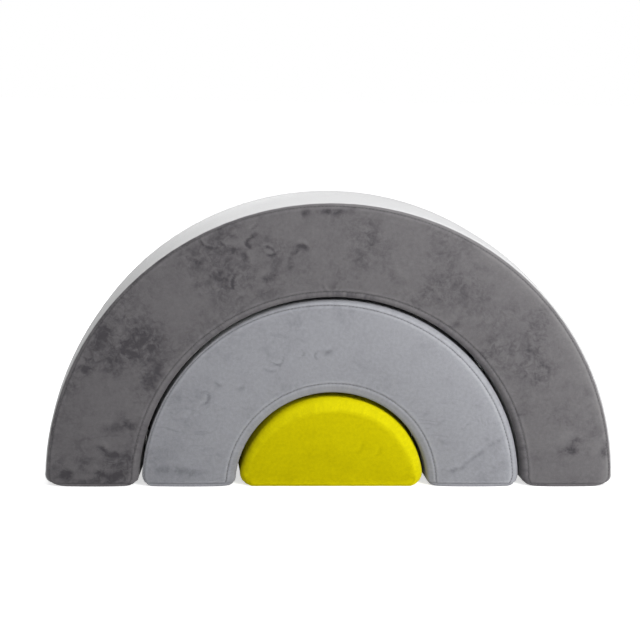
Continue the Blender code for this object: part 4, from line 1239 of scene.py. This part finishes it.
add_foam("outer_arch", arch_foam_points(OUTER_ARCH))
add_foam("middle_arch", arch_foam_points(MIDDLE_ARCH))
add_foam("half_round", half_round_foam_points(HALF_ROUND))

# Seam stitches
# Each long seam shows its thread as short dashes down in the crease, in the cloth's colour. The
# cloth's two edges beside each zip are held by a row of top stitches.
SEAM_PITCH = 0.0074
SEAM_STITCH = (0.0021, 0.0009, 0.0006)
SEAM_STITCH_SINK = 0.0004
TOP_PITCH = 0.0042
TOP_STITCH = (0.0014, 0.00042, 0.00032)
TOP_STITCH_COLUMN = 4


def thread_finish(name, colour):
    """Twisted polyester thread."""
    finish = bpy.data.materials.new(name)
    finish.use_nodes = True
    tree = finish.node_tree
    shader = tree.nodes["Principled BSDF"]
    place = add_node(tree, "ShaderNodeTexCoord").outputs["Object"]
    ply = noise(tree, place, 1500.0, 1.0).outputs[0]
    shade = stepped(tree, ply, 0.3, 0.7)
    dark = tuple(0.6 * part for part in colour)
    tree.links.new(colour_mix(tree, shade, (*dark, 1), (*colour, 1)), shader.inputs["Base Color"])
    bump = add_node(tree, "ShaderNodeBump", {"Height": ply, "Strength": 0.5, "Distance": 0.0003})
    tree.links.new(bump.outputs[0], shader.inputs["Normal"])
    shader.inputs["Roughness"].default_value = 0.55
    shader.inputs["Sheen Weight"].default_value = 0.3
    return finish


def stitch_places(line, away, pitch, sink):
    """Centres, directions and outward directions of stitches at an even pitch along a line."""
    steps = np.linalg.norm(np.diff(line, axis=0), axis=-1)
    length = np.concatenate([[0], np.cumsum(steps)])
    places = np.arange(pitch / 2, length[-1] - pitch / 2, pitch)
    centre = np.stack([np.interp(places, length, line[:, k]) for k in range(3)], axis=-1)
    ahead = np.stack([np.interp(places + 0.001, length, line[:, k]) for k in range(3)], axis=-1) - centre
    up = np.stack([np.interp(places, length, away[:, k]) for k in range(3)], axis=-1)
    ahead /= np.linalg.norm(ahead, axis=-1, keepdims=True)
    up -= ahead * (ahead * up).sum(axis=-1, keepdims=True)
    up /= np.linalg.norm(up, axis=-1, keepdims=True)
    return centre - up * sink, ahead, up


def grain_shape():
    """A long rounded grain: six-sided rings between two tips, as points and faces."""
    stations = ((-0.82, 0.62), (-0.35, 1.0), (0.35, 1.0), (0.82, 0.62))
    turn = np.arange(6) * np.pi / 3
    rings = [np.stack([0 * turn + x, r * np.cos(turn), r * np.sin(turn)], axis=-1) for x, r in stations]
    points = np.concatenate([*rings, [[-1, 0, 0], [1, 0, 0]]])
    faces = [[(k + 1) % 6, k, 24] for k in range(6)]
    for ring in range(3):
        start = ring * 6
        faces += [[start + k, start + (k + 1) % 6, start + 6 + (k + 1) % 6, start + 6 + k] for k in range(6)]
    faces += [[18 + k, 18 + (k + 1) % 6, 25] for k in range(6)]
    return points, faces


def add_grains(name, centre, ahead, up, size, finish):
    """One mesh of many small grains, each with its own place and direction."""
    shape, faces = grain_shape()
    beside = np.cross(up, ahead)
    points = (
        centre[:, None]
        + ahead[:, None] * shape[None, :, 0:1] * size[0]
        + beside[:, None] * shape[None, :, 1:2] * size[1]
        + up[:, None] * shape[None, :, 2:3] * size[2]
    )
    numbered = [[corner + k * len(shape) for corner in face] for k in range(len(centre)) for face in faces]
    return add_piece(name, points, numbered, finish)


def add_stitches(name, rows, size, body, finish):
    """A piece of stitches from several rows."""
    centre, ahead, up = (np.concatenate(parts) for parts in zip(*rows))
    piece = add_grains(name, centre, ahead, up, size, finish)
    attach(piece, body)


def seam_row(points, column):
    """The stitches of a seam along a panel's first or last column."""
    return stitch_places(points[:, column], normals_of(points)[:, column], SEAM_PITCH, SEAM_STITCH_SINK)


def top_row(moved, column, inside):
    """The top stitches beside a zip, between the zip's ends."""
    return stitch_places(moved[inside, column], normals_of(moved)[inside, column], TOP_PITCH, -0.0001)


def add_arch_stitches(block, cover, seams, finish):
    """An arch's seam stitches, and the top stitches beside its zip."""
    rows = [seam_row(seams["outer_band"][0], column) for column in (0, -1)]
    rows += [seam_row(seams["inner_band"][0], column) for column in (0, -1)]
    add_stitches(block + "_seam_stitches", rows, SEAM_STITCH, block, finish)
    angle = cover.angles(PLAIN_CELL)
    inside = np.minimum(angle, np.pi - angle) > ZIP_END
    rows = [
        top_row(seams["back_panel"][1], -1 - TOP_STITCH_COLUMN, inside),
        top_row(seams["back_facing"][1], TOP_STITCH_COLUMN, inside),
    ]
    add_stitches(block + "_zip_top_stitches", rows, TOP_STITCH, block, finish)


DARK_THREAD = thread_finish("dark_grey_thread", (0.062, 0.059, 0.063))
LIGHT_THREAD = thread_finish("light_grey_thread", (0.170, 0.170, 0.182))
YELLOW_THREAD = thread_finish("yellow_thread", (0.480, 0.420, 0.010))
add_arch_stitches("outer_arch", OUTER_ARCH, OUTER_SEAMS, DARK_THREAD)
add_arch_stitches("middle_arch", MIDDLE_ARCH, MIDDLE_SEAMS, LIGHT_THREAD)
INSIDE = np.abs(HALF_ROUND_SEAMS["back_panel"][1][:, -1, 0]) < HALF_ROUND_ZIP_END
LOW_INSIDE = np.abs(HALF_ROUND_SEAMS["back_facing"][1][:, 0, 0]) < HALF_ROUND_ZIP_END
add_stitches(
    "half_round_zip_top_stitches",
    [
        top_row(HALF_ROUND_SEAMS["back_panel"][1], -1 - TOP_STITCH_COLUMN, INSIDE),
        top_row(HALF_ROUND_SEAMS["back_facing"][1], TOP_STITCH_COLUMN, LOW_INSIDE),
    ],
    TOP_STITCH,
    "half_round",
    YELLOW_THREAD,
)

# Zips
# Each cover opens at the back by a coil zip. Two woven tapes are sewn under the cloth's edges, and
# a nylon coil of small loops runs along each. The loops of the two coils lie between each other.
TAPE_TOP = 0.1172
TAPE_THICKNESS = 0.0007
TAPE_SPLIT = 0.0011
TAPE_REACH = 0.0151
TAPE_TUCK = 0.008
COIL_LEVEL = 0.1186
COIL_PITCH = 0.0021
COIL_LOOP = (0.0017, 0.00062, 0.0010)
COIL_MIDDLE = 0.00145
ZIP_CELL = 0.006


def tape_finish(name, colour):
    """Woven zip tape: a fine herringbone over its own length and width."""
    finish = bpy.data.materials.new(name)
    finish.use_nodes = True
    tree = finish.node_tree
    shader = tree.nodes["Principled BSDF"]
    place = add_node(tree, "ShaderNodeUVMap", uv_map="cloth").outputs[0]
    parts = add_node(tree, "ShaderNodeSeparateXYZ", {0: place}).outputs
    zigzag = reckon(tree, "PINGPONG", parts[1], 0.0015)
    slant = reckon(tree, "ADD", parts[0], zigzag)
    weave = reckon(tree, "SINE", reckon(tree, "MULTIPLY", slant, 2 * math.pi / 0.0009))
    worn = noise(tree, place, 160.0, 2.0).outputs[0]
    shade = reckon(tree, "MULTIPLY", stepped(tree, weave, -0.8, 0.8, 0.72, 1.0), stepped(tree, worn, 0.3, 0.7, 0.9, 1.0))
    dark = tuple(0.45 * part for part in colour)
    tree.links.new(colour_mix(tree, shade, (*dark, 1), (*colour, 1)), shader.inputs["Base Color"])
    bump = add_node(tree, "ShaderNodeBump", {"Height": weave, "Strength": 0.5, "Distance": 0.0002})
    tree.links.new(bump.outputs[0], shader.inputs["Normal"])
    shader.inputs["Roughness"].default_value = 0.75
    shader.inputs["Sheen Weight"].default_value = 0.2
    return finish


def coil_finish(name, colour):
    """Smooth nylon, a little worn where the slider runs."""
    finish = bpy.data.materials.new(name)
    finish.use_nodes = True
    tree = finish.node_tree
    shader = tree.nodes["Principled BSDF"]
    place = add_node(tree, "ShaderNodeTexCoord").outputs["Object"]
    worn = stepped(tree, noise(tree, place, 260.0, 2.0).outputs[0], 0.35, 0.7)
    pale = tuple(min(1.0, 1.35 * part) for part in colour)
    tree.links.new(colour_mix(tree, worn, (*colour, 1), (*pale, 1)), shader.inputs["Base Color"])
    tree.links.new(stepped(tree, worn, 0.0, 1.0, 0.28, 0.42), shader.inputs["Roughness"])
    return finish


def zip_points(line, along, across, depth):
    """Points beside a zip's line, at distances along and across it and a depth."""
    x, z = line(along, across)
    return np.stack([x + 0 * depth, depth + 0 * x, z + 0 * depth], axis=-1)


def add_tape(block, label, line, ends, side, finish):
    """One woven tape: a thin rounded strip that follows the zip and is tucked in at both ends."""
    turn = np.arange(4) * np.pi / 2 + np.pi / 4
    thick = TAPE_THICKNESS / 2
    width = TAPE_REACH - TAPE_SPLIT
    wide = np.concatenate([[TAPE_SPLIT, TAPE_SPLIT + 0.0002], np.linspace(0.12, 0.88, 6) * width + TAPE_SPLIT,
                           [TAPE_REACH - 0.0002, TAPE_REACH]])
    lift = np.full(len(wide), thick)
    lift[[0, -1]] = 0.4 * thick
    across = np.concatenate([wide, wide[::-1]])
    depth = TAPE_TOP - thick + np.concatenate([lift, -lift])
    rows = np.linspace(ends[0] - TAPE_TUCK, ends[1] + TAPE_TUCK, round((ends[1] - ends[0]) / ZIP_CELL))
    points = zip_points(line, rows[:, None], side * across[None, :], depth[None, :])
    if side > 0:
        points = points[:, ::-1]
        across = across[::-1]
    flat = np.stack([rows[:, None] + 0 * across, across[None, :] + 0 * rows[:, None]], axis=-1)
    count, columns = points.shape[:2]
    caps = [list(range(columns - 1, -1, -1)), list(range((count - 1) * columns, count * columns))]
    faces = grid_faces(count, columns, closed=True).tolist() + caps
    piece = add_piece(f"{block}_zip_tape_{label}_woven", points, faces, finish, flat)
    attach(piece, block)
    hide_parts(f"{block}_zip_tape_{label}")


def add_coil(block, label, line, ends, side, finish):
    """One coil: rounded loops across the zip at an even pitch, with a cord along their roots."""
    shift = 0.0 if side > 0 else COIL_PITCH / 2
    along = np.arange(ends[0] + shift, ends[1], COIL_PITCH)
    centre = zip_points(line, along, side * COIL_MIDDLE, np.full(len(along), COIL_LEVEL))
    inner = zip_points(line, along, 0.0, np.full(len(along), COIL_LEVEL))
    ahead = (centre - inner) / COIL_MIDDLE
    up = np.zeros_like(ahead)
    up[:, 1] = 1
    piece = add_grains(f"{block}_zip_coil_{label}_loops", centre, ahead, up, COIL_LOOP, finish)
    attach(piece, block)
    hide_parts(f"{block}_zip_coil_{label}")


def arch_zip_line(radius):
    """The line of an arch's zip: part of a circle about the block's axis."""
    def line(along, across):
        angle = along / radius
        return (radius + across) * np.cos(angle), (radius + across) * np.sin(angle)
    return line


def level_zip_line(height):
    """The line of the half round's zip: level, from right to left."""
    def line(along, across):
        return -along + 0 * across, height + across + 0 * along
    return line


def add_zip(block, line, ends, slider_at, tape, coil):
    """A block's two tapes and two coils."""
    for side, label in ((1, "upper"), (-1, "lower")):
        add_tape(block, label, line, ends, side, tape)
        add_coil(block, label, line, (slider_at, ends[1]), side, coil)


DARK_TAPE = tape_finish("dark_grey_tape", (0.085, 0.082, 0.086))
GREY_TAPE = tape_finish("grey_tape", (0.260, 0.264, 0.280))
YELLOW_TAPE = tape_finish("yellow_tape", (0.500, 0.430, 0.010))
DARK_COIL = coil_finish("dark_grey_coil", (0.060, 0.058, 0.062))
GREY_COIL = coil_finish("grey_coil", (0.200, 0.204, 0.216))
YELLOW_COIL = coil_finish("yellow_coil", (0.420, 0.350, 0.012))
SLIDER_HALF = 0.009
for name, radius, tape, coil, shade in (
    ("outer_arch", OUTER_ARCH.zip_radius, DARK_TAPE, DARK_COIL, "dark"),
    ("middle_arch", MIDDLE_ARCH.zip_radius, GREY_TAPE, GREY_COIL, "grey"),
):
    ends = (ZIP_END * radius, (np.pi - ZIP_END) * radius)
    add_zip(name, arch_zip_line(radius), ends, ends[0] + SLIDER_HALF, tape, coil)
add_zip(
    "half_round",
    level_zip_line(HALF_ROUND.zip_height),
    (-HALF_ROUND_ZIP_END, HALF_ROUND_ZIP_END),
    SLIDER_HALF - HALF_ROUND_ZIP_END,
    YELLOW_TAPE,
    YELLOW_COIL,
)

# Zip sliders and pulls
# Each zip has a cast slider and a flat pull on its bail, both nickel plated. They are the CAD
# parts with their edges broken, so that they catch the light.
METAL_EDGE = 0.00022


def metal_finish():
    """Nickel plate with fine brushing, and wear that dulls it in spots."""
    finish = bpy.data.materials.new("brushed_nickel")
    finish.use_nodes = True
    tree = finish.node_tree
    shader = tree.nodes["Principled BSDF"]
    place = add_node(tree, "ShaderNodeTexCoord").outputs["Object"]
    drawn = add_node(tree, "ShaderNodeMapping", {"Vector": place, "Scale": (2600, 2600, 240)}).outputs[0]
    brushing = noise(tree, drawn, 1.0, 2.0).outputs[0]
    spots = stepped(tree, noise(tree, place, 340.0, 3.0).outputs[0], 0.45, 0.7)
    tree.links.new(colour_mix(tree, spots, (0.64, 0.62, 0.59, 1), (0.50, 0.48, 0.45, 1)), shader.inputs["Base Color"])
    tree.links.new(stepped(tree, brushing, 0.3, 0.7, 0.22, 0.40), shader.inputs["Roughness"])
    bump = add_node(tree, "ShaderNodeBump", {"Height": brushing, "Strength": 0.25, "Distance": 0.0001})
    tree.links.new(bump.outputs[0], shader.inputs["Normal"])
    shader.inputs["Metallic"].default_value = 1.0
    return finish


NICKEL = metal_finish()


def add_metal(node, body):
    """A copy of a CAD part, merged to one skin and with a small round on its sharp edges."""
    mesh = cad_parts[node].data.copy()
    skin = bmesh.new()
    skin.from_mesh(mesh)
    bmesh.ops.remove_doubles(skin, verts=skin.verts, dist=1e-6)
    bmesh.ops.dissolve_limit(skin, angle_limit=math.radians(2), verts=skin.verts, edges=skin.edges)
    skin.to_mesh(mesh)
    skin.free()
    mesh.materials.clear()
    mesh.materials.append(NICKEL)
    piece = bpy.data.objects.new(node + "_plated", mesh)
    bpy.context.scene.collection.objects.link(piece)
    rounding = piece.modifiers.new("broken_edges", "BEVEL")
    rounding.width = METAL_EDGE
    rounding.segments = 2
    rounding.limit_method = "ANGLE"
    rounding.angle_limit = math.radians(35)
    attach(piece, body)
    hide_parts(node)


for block in ("outer_arch", "middle_arch", "half_round"):
    for part in ("slider", "pull"):
        add_metal(f"{block}_zip_{part}", f"{block}_{part}")
